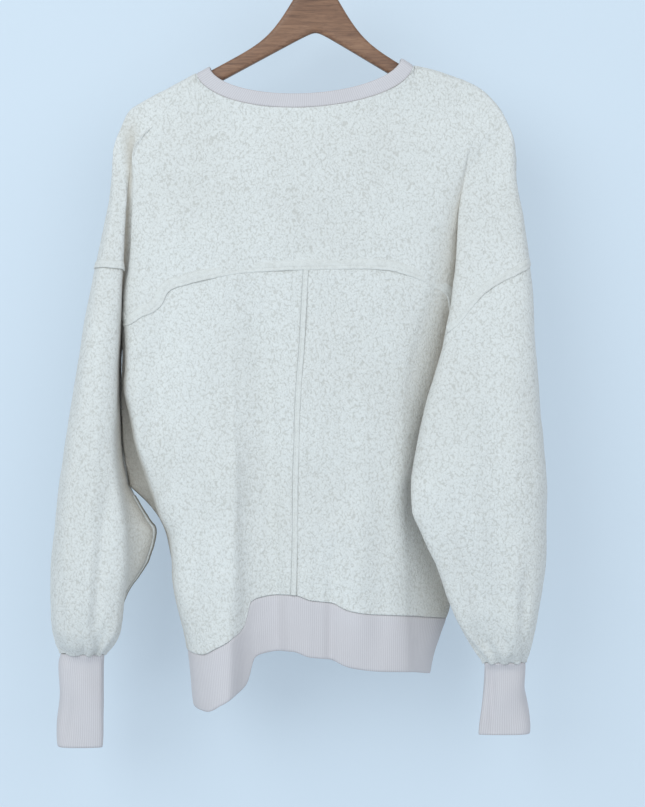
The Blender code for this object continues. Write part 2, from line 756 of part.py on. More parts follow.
def build_hem(rib):
    """The ribbed hem, which carries the body's two faces on below its seam."""
    u = even(1, 2, BODY_CELLS)
    u[-1] = 2 - 1e-7
    parts = []
    for face, side in (("near", "back"), ("far", "front")):
        top = hem_line(face, u) + HEM_CLEARANCE
        down = top + RIB_DEPTH[side] * even(0, 1, RIB_ROWS)[:, None]
        columns = u * np.ones((RIB_ROWS + 1, 1))
        parts.append((sheet(face, columns, down), sheet_normals(face, columns, down)))
    points, normal = (np.concatenate([near, far[:, -2::-1]], axis=1) for near, far in zip(*parts))
    normal[:, [0, BODY_CELLS, -1], 1] = 0
    normal /= np.linalg.norm(normal, axis=-1, keepdims=True)
    cloth_wall("hem_band", points, normal, RIB_WALL, rib, closed_columns(*points.shape[:2], 0))


def neck_ring(turn, rise):
    """A point of the neckband: turn goes once round from the left shoulder point over the back,
    and rise from 0 at its seam to 1 at its free edge."""
    near = np.sin(turn) >= 0
    arc = np.abs(np.sin(turn))
    place = 0.5 - 0.5 * np.cos(turn)
    across = NECK_SEAM["left"] + (NECK_SEAM["right"] - NECK_SEAM["left"]) * place
    down = np.where(near, top_edge("near", across), top_edge("far", across))
    side_out = np.where(near, BRIM_OUT["back"], BRIM_OUT["front"])
    seam_out = side_out * over_arm(np.where(near, SEAM_DROP["back"], SEAM_DROP["front"]) * arc)
    seam = np.stack([across, -seam_out, -down], axis=-1)
    dip = np.where(near, EDGE_DROP["back"], EDGE_DROP["front"]) * arc
    across = NECK_EDGE["left"] + (NECK_EDGE["right"] - NECK_EDGE["left"]) * place
    down = NECK_EDGE["left_down"] + (NECK_EDGE["right_down"] - NECK_EDGE["left_down"]) * place + dip
    edge = np.stack([across, -side_out * over_arm(dip), -down], axis=-1)
    return seam + (edge - seam) * np.asarray(rise)[..., None]


def build_neckband(rib):
    """The band's ring has a place for each of the sheets' columns in the neck, and at its seam it
    takes their normals."""
    u = even(1 + NECK_MARGIN, 2 - NECK_MARGIN, BAND_CELLS // 2)
    across = read(TOP_COLUMNS, "across", u, "lobes")
    middle = 0.5 * (NECK_SEAM["left"] + NECK_SEAM["right"])
    half = 0.5 * (NECK_SEAM["right"] - NECK_SEAM["left"])
    back = np.arccos(np.clip((middle - across) / half, -1.0, 1.0))
    turn = np.concatenate([back, 2 * math.pi - back[-2::-1]]) * np.ones((BAND_ROWS + 1, 1))
    rise = even(BAND_START, 1, BAND_ROWS)[:, None] * np.ones((1, BAND_CELLS + 1))
    points = neck_ring(turn, rise)
    along = neck_ring(turn + 0.01, rise) - neck_ring(turn - 0.01, rise)
    up = neck_ring(turn, rise + 0.05) - neck_ring(turn, rise - 0.05)
    normal = np.cross(along, up)
    normal /= np.linalg.norm(normal, axis=-1, keepdims=True)
    normal *= np.sign(-normal[0, BAND_CELLS // 4, 1])
    normal[0] = np.concatenate([top_normals("near", u), top_normals("far", u)[-2::-1]])
    cloth_wall("neckband", points, normal, RIB_WALL, rib, closed_columns(*points.shape[:2], 0))


def tube(name, path, radii, finish, sides=12, squash=None):
    """A closed tube round a path: each ring is square to the path, with its own radii."""
    ahead = np.gradient(path, axis=0)
    ahead /= np.linalg.norm(ahead, axis=1, keepdims=True)
    level = np.tile([0.0, 1.0, 0.0], (len(path), 1))
    upright = np.cross(ahead, level)
    angle = np.linspace(0, 2 * math.pi, sides, endpoint=False)
    rings = path[:, None] + radii[:, None, None] * (
        np.cos(angle)[None, :, None] * upright[:, None] + np.sin(angle)[None, :, None] * level[:, None]
    )
    close_rings(name, rings, finish)


def close_rings(name, rings, finish):
    """A solid skin over a stack of rings with flat ends."""
    count, sides = rings.shape[:2]
    faces = []
    for i in range(count - 1):
        for j in range(sides):
            k = (j + 1) % sides
            faces.append([i * sides + j, i * sides + k, (i + 1) * sides + k, (i + 1) * sides + j])
    faces.append(list(range(sides))[::-1])
    faces.append([(count - 1) * sides + j for j in range(sides)])
    made = add_object(name, rings.reshape(-1, 3), faces, finish)
    make_outward(made)


def make_outward(made):
    """Turns the faces round if they point into the solid."""
    mesh = made.data
    mesh.calc_loop_triangles()
    points = np.array([v.co for v in mesh.vertices])
    corners = points[np.array([t.vertices for t in mesh.loop_triangles])]
    volume = np.einsum("ij,ij->i", corners[:, 0], np.cross(corners[:, 1], corners[:, 2])).sum()
    if volume < 0:
        mesh.flip_normals()


def hanger_under(across):
    """Down to the hanger's lower edge: two straight arms with a rounded apex, hung a little askew."""
    run = np.sqrt(across**2 + HANGER_APEX_ROUND**2) - HANGER_APEX_ROUND
    return HANGER_UNDER + HANGER_SLOPE * run + HANGER_TILT * across


def hanger_height(across):
    """Height of the arms, with the hump that takes the hook."""
    return HANGER_ARM + HANGER_HUMP * np.exp(-((across / HANGER_HUMP_WIDTH) ** 2))


def build_hanger(wood, steel):
    place = even(-1, 1, HANGER_CELLS)
    across = HANGER_HALF_LENGTH * np.sign(place) * np.abs(place) ** HANGER_CROWDING
    height = hanger_height(across)
    centre = hanger_under(across) - 0.5 * height
    from_tip = HANGER_HALF_LENGTH - np.abs(across)
    close = np.clip((from_tip + 1.0) / HANGER_TIP, 0.3, 1.0)
    angle = np.linspace(0, 2 * math.pi, 16, endpoint=False)
    round_cos = np.sign(np.cos(angle)) * np.abs(np.cos(angle)) ** HANGER_SQUARENESS
    round_sin = np.sign(np.sin(angle)) * np.abs(np.sin(angle)) ** HANGER_SQUARENESS
    rings = np.stack(
        [
            across[:, None] * np.ones_like(angle),
            0.5 * HANGER_THICKNESS * close[:, None] * round_cos,
            -centre[:, None] - 0.5 * (height * close)[:, None] * round_sin,
        ],
        axis=-1,
    )
    close_rings("hanger_wood", rings, wood)
    wire = 0.5 * HOOK_WIRE
    radius = HOOK_INNER_RADIUS + wire
    wood_top = hanger_under(0.0) - hanger_height(0.0)
    turn = np.radians(even(*HOOK_TURN, HOOK_CELLS))
    loop = np.stack([radius * np.cos(turn), 0 * turn, radius * np.sin(turn) - HOOK_INNER_RADIUS], axis=-1)
    foot = -wood_top + 0.4
    neck_points = [(0, 0, foot), (0, 0, foot + 3.5), (0, 0, foot + 5), (0, 0, foot + 8)]
    neck_points += [(1.5, 0, foot + 12), (6.5, 0, foot + 16.5)]
    path = np.concatenate([np.array(neck_points, float), loop])
    radii = np.full(len(path), wire)
    radii[:2], radii[2] = 3.6, 2.4
    tube("hanger_hook", path, radii, steel)


def main():
    for old in list(bpy.data.objects):
        bpy.data.objects.remove(old, do_unlink=True)
    fleece = material("fleece_cream", (0.79, 0.77, 0.70), 0.95)
    rib = material("rib_blush", (0.76, 0.71, 0.69), 0.85)
    wood = material("hanger_wood", (0.27, 0.16, 0.09), 0.45)
    steel = material("hanger_steel", (0.62, 0.62, 0.62), 0.25, 1.0)
    build_sheets(fleece)
    build_sleeves(fleece, rib)
    build_hem(rib)
    build_neckband(rib)
    build_hanger(wood, steel)


main()
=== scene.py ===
"""A sherpa fleece pullover with ribbed neck, cuffs and hem, hung back outwards on a wooden hanger.

Tables and sizes are in millimetres, in the garment's own three directions:
  across  to the right of someone who looks at the garment's back   (+X)
  out     from the hanger towards that person                       (-Y)
  down    below the seat of the hanger's hook, which is the origin  (-Z)
"""

import math

import bmesh
import bpy
import numpy as np
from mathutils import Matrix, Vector


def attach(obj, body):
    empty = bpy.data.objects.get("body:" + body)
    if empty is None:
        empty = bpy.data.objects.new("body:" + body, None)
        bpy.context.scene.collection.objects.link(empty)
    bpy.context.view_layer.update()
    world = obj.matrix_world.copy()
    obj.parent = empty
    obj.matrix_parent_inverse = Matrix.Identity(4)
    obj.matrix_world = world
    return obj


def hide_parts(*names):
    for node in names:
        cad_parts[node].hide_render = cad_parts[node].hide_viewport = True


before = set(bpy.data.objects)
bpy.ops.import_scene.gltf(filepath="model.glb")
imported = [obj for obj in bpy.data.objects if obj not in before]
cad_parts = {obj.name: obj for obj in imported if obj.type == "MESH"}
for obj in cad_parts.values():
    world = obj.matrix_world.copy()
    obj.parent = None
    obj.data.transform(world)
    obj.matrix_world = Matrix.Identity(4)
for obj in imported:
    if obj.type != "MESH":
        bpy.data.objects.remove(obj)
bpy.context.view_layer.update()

MM = 0.001
FLEECE_WALL = 3.0
RIB_WALL = 2.0
GROOVE_INSET = 0.3
HEM_CLEARANCE = 0.5
ARMHOLE_CLEARANCE = 0.6
FOLD_RADIUS = 8.0
NECK_FOLD = 60.0

# Neck opening: the two shoulder points, and how far the seams and the band's free edge drop.
NECK_SEAM = {"left": -137.0, "right": 112.0, "left_down": 176.0, "right_down": 168.0}
NECK_EDGE = {"left": -122.0, "right": 98.0, "left_down": 168.5, "right_down": 159.0}
SEAM_DROP = {"back": 48.0, "front": 122.0}
EDGE_DROP = {"back": 38.0, "front": 108.0}
BRIM_OUT = {"back": 15.0, "front": -22.0}

RIB_DEPTH = {"back": 63.0, "front": 62.0}
CUFF_SEAM = {"left": 842.0, "right": 850.0}
CUFF_END = {"left": 948.0, "right": 932.0}


def table(names, *rows):
    """Named columns of numbers from a row for each section."""
    return {name: np.array(column, float) for name, column in zip(names.split(), zip(*rows))}


# The left sleeve's lobe. outer: silhouette; turn: where the near face begins; near and far: how far
# out its two faces lie; edge: the roll beside the body; mid: the silhouette's place out;
# web, web_out: the inner corner of the far face.
LEFT_SLEEVE = table(
    "down outer turn near edge mid far web web_out",
    (160, -236, -232, 12, -211, 0, -12, -216, -12),
    (224, -236, -231, 14, -211, 0, -14, -216, -14),
    (292, -235, -228, 20, -213, 0, -16, -219, -15),
    (349, -243, -234, 29, -216, 0, -21, -224, -19),
    (405, -254, -245, 37, -218, 0, -26, -226, -22),
    (473, -267, -254, 45, -222, -2, -31, -228, -25),
    (541, -277, -262, 51, -225, -4, -35, -226, -26),
    (597, -286, -270, 54, -226, -6, -38, -225, -28),
    (650, -294, -275, 56, -219, -8, -40, -216, -28),
    (701, -300, -279, 57, -211, -9, -41, -196, -26),
    (733, -304, -281, 57, -211, -10, -42, -202, -26),
    (778, -306, -284, 55, -216, -10, -42, -222, -28),
    (812, -303, -285, 48, -221, -8, -38, -230, -28),
    (831, -298, -283, 37, -232, -6, -31, -238, -24),
    (842, -294, -281, 26, -241, -4, -24, -244, -19),
    (852, -296, -283, 22, -243, -2, -22, -246, -18),
    (900, -297, -285, 21, -243, -2, -20, -246, -16),
    (960, -298, -290, 20, -243, -2, -19, -246, -15),
)

# The right sleeve's lobe, which overhangs the body.
RIGHT_SLEEVE = table(
    "down outer turn near edge mid far web web_out",
    (160, 231, 227, 12, 186, 0, -12, 192, -12),
    (224, 231, 226, 14, 184, 0, -14, 190, -14),
    (292, 231, 225, 21, 171, 0, -14, 182, -14),
    (349, 239, 231, 31, 161, 0, -17, 176, -16),
    (405, 246, 236, 41, 157, 0, -19, 172, -17),
    (441, 249, 238, 46, 153, 2, -20, 170, -18),
    (480, 250, 238, 52, 145, 3, -20, 166, -18),
    (519, 253, 238, 57, 134, 4, -20, 160, -17),
    (563, 256, 240, 62, 122, 5, -20, 156, -16),
    (608, 260, 242, 66, 112, 6, -20, 156, -10),
    (637, 262, 243, 68, 107, 7, -20, 160, -6),
    (652, 263, 243, 69, 106, 7, -20, 164, 2),
    (675, 263, 243, 69, 107, 8, -20, 168, 4),
    (697, 263, 244, 68, 116, 8, -20, 174, 3),
    (736, 262, 243, 65, 135, 8, -20, 176, 0),
    (775, 257, 242, 61, 149, 8, -20, 178, -2),
    (814, 249, 238, 54, 166, 8, -18, 190, -6),
    (836, 243, 234, 44, 180, 8, -14, 200, -8),
    (850, 240, 232, 33, 190, 6, -10, 206, -8),
    (860, 240, 232, 28, 192, 5, -9, 206, -8),
    (900, 243, 234, 27, 188, 4, -9, 202, -8),
    (950, 248, 238, 26, 182, 4, -9, 198, -8),
)

# The body. left and right: where its back turns away; near_*: how far out the back lies there;
# centre: its middle seam; far: how far the front lies behind the hanger.
BODY = table(
    "down left near_left near centre near_right right far",
    (160, -196, 12, 12, -4, 12, 170, -12),
    (224, -203, 15, 17, -4, 15, 172, -16),
    (271, -207, 23, 27, -4, 24, 168, -25),
    (327, -210, 29, 34, -4, 31, 150, -31),
    (384, -212, 33, 39, -4, 35, 138, -36),
    (428, -212, 35, 41, -6, 37, 131, -38),
    (484, -214, 37, 43, -8, 39, 117, -41),
    (540, -216, 39, 46, -12, 41, 108, -44),
    (572, -209, 40, 47, -14, 42, 106, -45),
    (600, -204, 42, 48, -15, 42, 106, -46),
    (630, -194, 43, 49, -17, 42, 106, -47),
    (684, -176, 45, 51, -19, 42, 107, -49),
    (709, -165, 46, 52, -20, 42, 108, -50),
    (760, -160, 48, 53, -22, 43, 109, -50),
    (839, -143, 50, 53, -25, 45, 112, -48),
    (910, -136, 46, 49, -27, 43, 112, -45),
)

# Where sleeve and body meet, down to each underarm.
LEFT_GROOVE = table(
    "down across near far",
    (160, -211, 12, -12), (224, -211, 14, -14), (270, -211, 18, -15), (322, -215, 17, -14),
    (405, -220, 14, -12), (473, -222, 11, -9), (541, -224, 7, -6), (600, -223, 3, -3),
    (650, -216, 0, 0),
)
RIGHT_GROOVE = table(
    "down across near far",
    (160, 186, 12, -12), (224, 184, 14, -14), (270, 174, 22, -14), (327, 164, 22, -14),
    (384, 161, 19, -12), (441, 158, 15, -10), (474, 152, 12, -8), (519, 145, 9, -6),
    (563, 139, 6, -4), (605, 135, 3, -2), (637, 132, 0, 0),
)

# Below the underarms: the sleeves' own seams and the body's side seams.
LEFT_UNDERARM = table(
    "down across out",
    (650, -216, 0), (668, -205, 2), (690, -191, 5), (701, -184, 6), (733, -192, 3), (776, -219, -1),
    (812, -230, -2), (842, -243, 0), (960, -245, 0),
)
RIGHT_UNDERARM = table(
    "down across out",
    (637, 132, 0), (645, 124, 18), (655, 119, 32), (675, 114, 42), (697, 121, 40), (736, 139, 38),
    (775, 153, 34), (814, 170, 30), (850, 192, 16), (950, 184, 12),
)
LEFT_SIDE = table(
    "down across out",
    (650, -216, 0), (668, -197, -3), (690, -181, -5), (709, -173, -6), (733, -168, -7),
    (778, -160, -7), (839, -146, -6), (910, -139, -5),
)
RIGHT_SIDE = table(
    "down across out",
    (637, 132, 0), (650, 136, -6), (668, 142, -8), (710, 153, -8), (756, 158, -9), (790, 155, -8),
    (823, 144, -6), (863, 133, -5), (910, 131, -5),
)

# The top edge outside the neck: the shoulders, which the hanger holds, and the two shoulder ends.
SHOULDER = table(
    "across down",
    (-236, 292), (-232, 262), (-224, 239), (-214, 219), (-204, 212), (-180, 199), (-150, 183.5),
    (-141, 178.5), (-133, 175.5), (-100, 174), (105, 167.5), (125, 169.5), (150, 177), (186, 191),
    (205, 209), (217, 228), (226, 252), (231, 280),
)

# Where the sheets' columns start along the top edge; lobes counts 1 for each lobe passed.
TOP_COLUMNS = table(
    "lobes across",
    (0, -235), (0.5, -228), (1, -208), (1 + 5 / 28, -144), (1 + 6 / 28, -137), (1 + 7 / 28, -135.5),
    (1 + 8 / 28, -125), (1.5, -12.5), (2 - 8 / 28, 100), (2 - 7 / 28, 110.5), (2 - 6 / 28, 112),
    (2 - 5 / 28, 119), (2, 184), (2.5, 215), (3, 230),
)
TOP_SPREAD = 90.0
LEVEL_SEAM = 0.045
SETTLING_STEPS = 6

# The yoke's lower edge: the seam across the back, then the two armhole seams around the lobes,
# where around runs from 0 at the silhouette to 1 in the groove.
YOKE_SEAM = table(
    "across down",
    (-222, 468), (-213, 467), (-198, 459), (-175, 445), (-167, 430), (-147, 422), (-119, 415),
    (-85, 409), (-7, 405), (50, 404), (78, 405), (106, 412), (131, 422), (147, 431), (158, 446),
)
LEFT_ARMHOLE = table("around down", (0, 401), (0.5, 403), (0.8, 406), (0.93, 460), (1, 460))
RIGHT_ARMHOLE = table(
    "around down", (0, 394), (0.2, 406), (0.4, 432), (0.6, 472), (0.8, 484), (0.93, 454), (1, 454)
)

# The seam between the fleece and the ribbed hem, along the back and the front.
BACK_HEM = table(
    "across down",
    (-150, 833), (-128, 836), (-111, 828), (-92, 817), (-80, 806), (-72, 778), (-60, 773),
    (-26, 770), (-6, 776), (16, 779), (38, 788), (61, 792), (100, 795), (124, 799), (156, 804),
)
FRONT_HEM = table(
    "across down", (-150, 833), (-120, 806), (-90, 790), (-20, 781), (60, 785), (110, 796), (156, 804)
)

GROOVE = {"left": LEFT_GROOVE, "right": RIGHT_GROOVE}
SLEEVE = {"left": LEFT_SLEEVE, "right": RIGHT_SLEEVE}
UNDERARM = {"left": LEFT_UNDERARM, "right": RIGHT_UNDERARM}
SIDE_SEAM = {"left": LEFT_SIDE, "right": RIGHT_SIDE}
ARMHOLE = {"left": LEFT_ARMHOLE, "right": RIGHT_ARMHOLE}

# Folds: a ridge (lift > 0) or a trough along a line from top to bottom, with its two half widths.
BACK_FOLDS = table(
    "top bottom top_across bottom_across left right lift_top lift_bottom",
    (400, 690, -168, -184, 14, 14, -3, -5),
    (520, 990, -92, -99, 36, 13, 1, 25),
    (380, 990, -62, -38, 32, 11, -3, -15),
    (700, 880, 19, 16, 7, 6, -3, -5),
    (410, 660, -196, -204, 9, 7, 1.6, 2.2),
    (430, 800, -150, -158, 10, 9, 1.4, 2.0),
    (330, 560, -88, -58, 15, 22, -1.8, -2.6),
    (440, 840, -96, -84, 5, 4, 0.8, 1.6),
    (520, 800, -128, -134, 8, 7, -1.2, -2.2),
    (470, 700, 20, 34, 22, 18, -1.0, -2.0),
    (560, 860, 52, 46, 16, 12, 0.8, 2.4),
    (600, 860, 74, 72, 12, 10, -0.8, -2.2),
    (300, 470, 40, 30, 24, 20, -0.9, -1.2),
    (680, 900, -6, -10, 8, 7, 0.8, 2.2),
)
FRONT_FOLDS = table(
    "top bottom top_across bottom_across left right lift_top lift_bottom",
    (420, 990, -70, -92, 30, 24, 2, 11),
    (380, 990, 12, 26, 26, 30, -3, -9),
    (460, 990, 84, 78, 22, 28, 1, 8),
    (400, 760, -150, -140, 14, 12, 1.2, 2.4),
    (350, 640, -110, -122, 16, 14, -1.2, -2.4),
    (480, 900, 50, 52, 10, 12, -0.8, -2.6),
    (520, 900, -20, -28, 12, 10, 0.8, 3.0),
)
LEFT_SLEEVE_FOLDS = table(
    "top bottom top_across bottom_across left right lift_top lift_bottom",
    (620, 852, -230, -252, 9, 9, -4, -7),
    (420, 640, -236, -246, 8, 9, 0.8, 1.8),
    (540, 850, -262, -270, 9, 10, -1.5, -5.0),
    (680, 856, -244, -260, 6, 6, 1.5, 4.5),
    (720, 858, -286, -284, 7, 6, -1.0, -4.0),
)
RIGHT_SLEEVE_FOLDS = table(
    "top bottom top_across bottom_across left right lift_top lift_bottom",
    (560, 852, 186, 206, 20, 16, -2, -5),
    (380, 700, 214, 226, 14, 12, 0.6, 1.8),
    (480, 780, 168, 188, 16, 12, 1.0, 2.0),
    (620, 856, 150, 194, 10, 9, -1.8, -5.0),
    (700, 858, 222, 218, 8, 8, 1.2, 4.5),
    (720, 858, 236, 228, 7, 6, -1.0, -4.0),
)
SLEEVE_FOLDS = {"left": LEFT_SLEEVE_FOLDS, "right": RIGHT_SLEEVE_FOLDS}

# Hanger.
HANGER_HALF_LENGTH = 204.0
HANGER_CROWDING = 1.15
HANGER_TIP = 8.0
HANGER_SQUARENESS = 0.6
HANGER_THICKNESS = 11.0
HANGER_ARM = 18.5
HANGER_UNDER = 130.0
HANGER_SLOPE = 0.57
HANGER_TILT = 0.03
HANGER_APEX_ROUND = 6.0
HANGER_HUMP = 50.0
HANGER_HUMP_WIDTH = 38.0
HOOK_WIRE = 3.4
HOOK_INNER_RADIUS = 19.0
HOOK_TURN = (-58.0, 205.0)


def smooth(q):
    """Smooth step from 0 at q = 0 to 1 at q = 1."""
    q = np.clip(q, 0.0, 1.0)
    return q * q * (3.0 - 2.0 * q)


def read(rows, name, at, key="down"):
    """One column's value at a place along the table: a cubic between rows, level at extremes."""
    x, y = rows[key], rows[name]
    at = np.clip(at, x[0], x[-1])
    run = np.diff(x)
    rise = np.diff(y) / run
    slope = np.zeros_like(y)
    same = rise[:-1] * rise[1:] > 0
    weight = run[1:] / (run[:-1] + run[1:])
    with np.errstate(divide="ignore", invalid="ignore"):
        mean = 1.0 / (weight / rise[:-1] + (1.0 - weight) / rise[1:])
    slope[1:-1] = np.where(same, mean, 0.0)
    slope[0], slope[-1] = rise[0], rise[-1]
    i = np.clip(np.searchsorted(x, at, side="right") - 1, 0, len(x) - 2)
    q = (at - x[i]) / run[i]
    start = (1 + 2 * q) * (1 - q) ** 2 * y[i] + q * (1 - q) ** 2 * run[i] * slope[i]
    return start + q * q * (3 - 2 * q) * y[i + 1] + q * q * (q - 1) * run[i] * slope[i + 1]


def bend(points, a):
    """Quadratic B-spline from the first point to the last, at a from 0 to 1; it touches every
    side of the control polygon at its middle."""
    count = len(points)
    knots = np.concatenate(([0, 0], np.arange(count - 1), [count - 2] * 2)) / (count - 2)
    a = np.clip(a, 0.0, 1.0 - 1e-9)
    weights = [((a >= knots[i]) & (a < knots[i + 1])).astype(float) for i in range(count + 2)]
    for degree in (1, 2):
        raised = []
        for i in range(count + 2 - degree):
            low, high = knots[i + degree] - knots[i], knots[i + degree + 1] - knots[i + 1]
            value = (a - knots[i]) / low * weights[i] if low > 0 else 0.0 * a
            if high > 0:
                value = value + (knots[i + degree + 1] - a) / high * weights[i + 1]
            raised.append(value)
        weights = raised
    across = sum(w * p[0] for w, p in zip(weights, points))
    out = sum(w * p[1] for w, p in zip(weights, points))
    return across, out


def folds(rows, across, down):
    """Sum of the table's ridges and troughs at each point, in millimetres out."""
    total = np.zeros_like(across)
    for top, bottom, top_x, bottom_x, left, right, lift_top, lift_bottom in zip(*rows.values()):
        along = np.clip((down - top) / (bottom - top), 0.0, 1.0)
        offset = across - (top_x + (bottom_x - top_x) * along)
        width = np.where(offset < 0, left, right)
        ends = smooth(along / 0.25) * smooth((1.0 - along) / 0.15)
        total += ends * (lift_top + (lift_bottom - lift_top) * along) * np.exp(-((offset / width) ** 2))
    return total


def groove(side, face, down, inset):
    """Where a lobe's face ends beside the body: the groove above the underarm, and the given
    tube's own seam below it."""
    rows, seam = GROOVE[side], (UNDERARM if inset == "sleeve" else SIDE_SEAM)[side]
    underarm = rows["down"][-1]
    across = np.where(down < underarm, read(rows, "across", down), read(seam, "across", down))
    out = np.where(down < underarm, read(rows, face, down), read(seam, "out", down))
    entry = ARMHOLE[side]["down"][-1]
    away = GROOVE_INSET * smooth((down - entry) / 2.0)
    towards_sleeve = (-1 if side == "left" else 1) * (1 if inset == "sleeve" else -1)
    return across + towards_sleeve * away, out


def sleeve_lobe(side, face, a, down):
    """Across and out on a sleeve's face, from the silhouette (a = 0) to the groove (a = 1)."""
    names = ("outer", "turn", "near", "edge", "mid", "far", "web", "web_out")
    outer, turn, near, edge, mid, far, web, web_out = (read(SLEEVE[side], name, down) for name in names)
    end, end_out = groove(side, face, down, "sleeve")
    if face == "near":
        rise = near - end_out
        points = (
            (outer, mid),
            (outer, mid + 0.5 * (near - mid)),
            (turn, near),
            (0.5 * (turn + edge), near + 0.05 * rise),
            (edge + 0.22 * (turn - edge), near),
            (edge, near - 0.12 * rise),
            (edge, near - 0.55 * rise),
            (end, end_out + 0.22 * rise),
            (end, end_out),
        )
    else:
        drop = np.maximum(end_out - web_out, 2.0)
        points = (
            (outer, mid),
            (outer, mid + 0.6 * (far - mid)),
            (outer + 0.22 * (web - outer), far),
            (0.5 * (outer + web), far),
            (web, web_out),
            (end, end_out - 0.18 * drop),
            (end, end_out),
        )
    across, out = bend(points, a)
    if face == "near":
        out = out + folds(SLEEVE_FOLDS[side], across, down) * smooth(a / 0.2) * smooth((0.8 - a) / 0.15)
    return across, out


def body_face(face, v, down):
    """Across and out on the body's back or front, from its left end (v = 0) to its right end."""
    names = ("left", "near_left", "near", "centre", "near_right", "right", "far")
    left, near_left, near, centre, near_right, right, far = (read(BODY, name, down) for name in names)
    left_end, left_out = groove("left", face, down, "body")
    right_end, right_out = groove("right", face, down, "body")
    if face == "near":
        sides, level = (near_left, near_right), near
    else:
        sides, level = (0.9 * far, 0.9 * far), far
        right = right_end + 0.5 * (right - right_end)
    # The left side lies flat beside the groove, and lower down as a wide web, before it rolls over.
    web = smooth((down - 430.0) / 90.0)
    gap = smooth((down - 262.0) / 40.0) * smooth((440.0 - down) / 70.0)
    flat = np.maximum(web, gap)
    left, left_rise = left + 3.0 * gap, sides[0] - left_out
    points = (
        (left_end, left_out),
        (left_end + 0.9 * flat * (left - left_end), left_out + (0.25 - 0.19 * flat) * left_rise),
        (left - 3 - web, left_out + (0.75 - 0.2 * flat) * left_rise),
        (left + 14 - 5 * web, sides[0]),
        (0.5 * (left + centre), level),
        (centre, level),
        (0.5 * (right + centre), level),
        (right - 14, sides[1]),
        (right + 3, right_out + 0.6 * (sides[1] - right_out)),
        (right_end, right_out + 0.1 * (sides[1] - right_out)),
        (right_end, right_out),
    )
    across, out = bend(points, v)
    rows, sign = (BACK_FOLDS, 1.0) if face == "near" else (FRONT_FOLDS, -1.0)
    inside = smooth(v / 0.22) * smooth((1.0 - v) / 0.2)
    return across, out + sign * inside * folds(rows, across, down)


def neck_arc(rim, across):
    """Height of the neck opening's half ellipse, 1 in the middle and 0 at the shoulder points."""
    middle = 0.5 * (rim["left"] + rim["right"])
    half = 0.5 * (rim["right"] - rim["left"])
    return np.sqrt(np.clip(1.0 - ((across - middle) / half) ** 2, 0.0, 1.0))


def over_arm(drop):
    """How far the neck opening has come round the hanger's arm, 0 to 1, at a drop below its top."""
    return np.sqrt(1.0 - (1.0 - np.clip(drop / FOLD_RADIUS, 0.0, 1.0)) ** 2)


def top_edge(face, across):
    """Down to the sheet's top edge: the shoulders, dipped by the neck's half ellipse."""
    side = "back" if face == "near" else "front"
    return read(SHOULDER, "down", across, "across") + SEAM_DROP[side] * neck_arc(NECK_SEAM, across)


def sheet(face, u, down):
    """A point of the back or front sheet; u runs 0 to 1 over the left sleeve's lobe, to 2 over the
    body and to 3 over the right sleeve's. Near its top edge the sheet rounds over the shoulder."""
    u, down = np.broadcast_arrays(np.asarray(u, float), np.asarray(down, float))
    left, right = sleeve_lobe("left", face, u, down), sleeve_lobe("right", face, 3.0 - u, down)
    lobes = zip(left, body_face(face, u - 1.0, down), right)
    across, out = (np.where(u < 1, a, np.where(u < 2, b, c)) for a, b, c in lobes)
    start = read(TOP_COLUMNS, "across", u, "lobes")
    below = down - top_edge(face, start)
    across = start + (across - start) * smooth(below / TOP_SPREAD)
    arc = neck_arc(NECK_SEAM, across)
    side = "back" if face == "near" else "front"
    brim = BRIM_OUT[side] * over_arm(SEAM_DROP[side] * arc)
    below = np.clip(below / (FOLD_RADIUS + NECK_FOLD * arc), 0.0, 1.0)
    out = brim + (out - brim) * np.sqrt(1.0 - (1.0 - below) ** 2)
    return np.stack([across, -out, -down], axis=-1)


def sleeve(side, around, down):
    """A point of a sleeve; around runs from 0 in the groove over the near face to 1 at the
    silhouette, and over the far face to 2 in the groove again."""
    around, down = np.broadcast_arrays(np.asarray(around, float), np.asarray(down, float))
    faces = zip(sleeve_lobe(side, "near", 1.0 - around, down), sleeve_lobe(side, "far", around - 1.0, down))
    across, out = (np.where(around <= 1, near, far) for near, far in faces)
    return np.stack([across, -out, -down], axis=-1)


def normals(surface, first, second, low, high):
    """Unit normals of surface(first, second), from small steps that stay between low and high."""
    after, before = np.minimum(first + 2e-3, high), np.maximum(first - 2e-3, low)
    across = surface(after, second) - surface(before, second)
    along = surface(first, second + 0.5) - surface(first, second - 0.5)
    return unit(np.cross(across, along))


def settle(height, across_of, start):
    """The depth at which each column meets a line that is given over across."""
    down = start
    for _ in range(SETTLING_STEPS):
        down = height(across_of(down))
    return down


def even(low, high, cells):
    """Evenly spaced places from low to high, at both ends of every cell."""
    return np.linspace(low, high, cells + 1)


def yoke_line(face, u):
    """Down to the yoke's lower edge, on every column of a sheet."""
    across = lambda down: sheet(face, u, down)[..., 0]
    body = settle(lambda x: read(YOKE_SEAM, "down", x, "across"), across, np.full_like(u, 420.0))
    left_end, right_end = (ARMHOLE[side]["down"][-1] for side in ("left", "right"))
    body = left_end + (body - left_end) * smooth((u - 1.0 - LEVEL_SEAM) / 0.05)
    body = right_end + (body - right_end) * smooth((2.0 - u - LEVEL_SEAM) / 0.05)
    left = read(ARMHOLE["left"], "down", u, "around")
    right = read(ARMHOLE["right"], "down", 3.0 - u, "around")
    return np.where(u < 1, left, np.where(u < 2, body, right))


def top_line(face, u):
    """Down to the top edge, on every column of a sheet."""
    return top_edge(face, read(TOP_COLUMNS, "across", u, "lobes"))


def hem_line(face, u):
    """Down to the ribbed hem's seam, on every column of the body."""
    rows = BACK_HEM if face == "near" else FRONT_HEM
    across = lambda down: sheet(face, u, down)[..., 0]
    return settle(lambda x: read(rows, "down", x, "across"), across, np.full_like(u, 800.0))


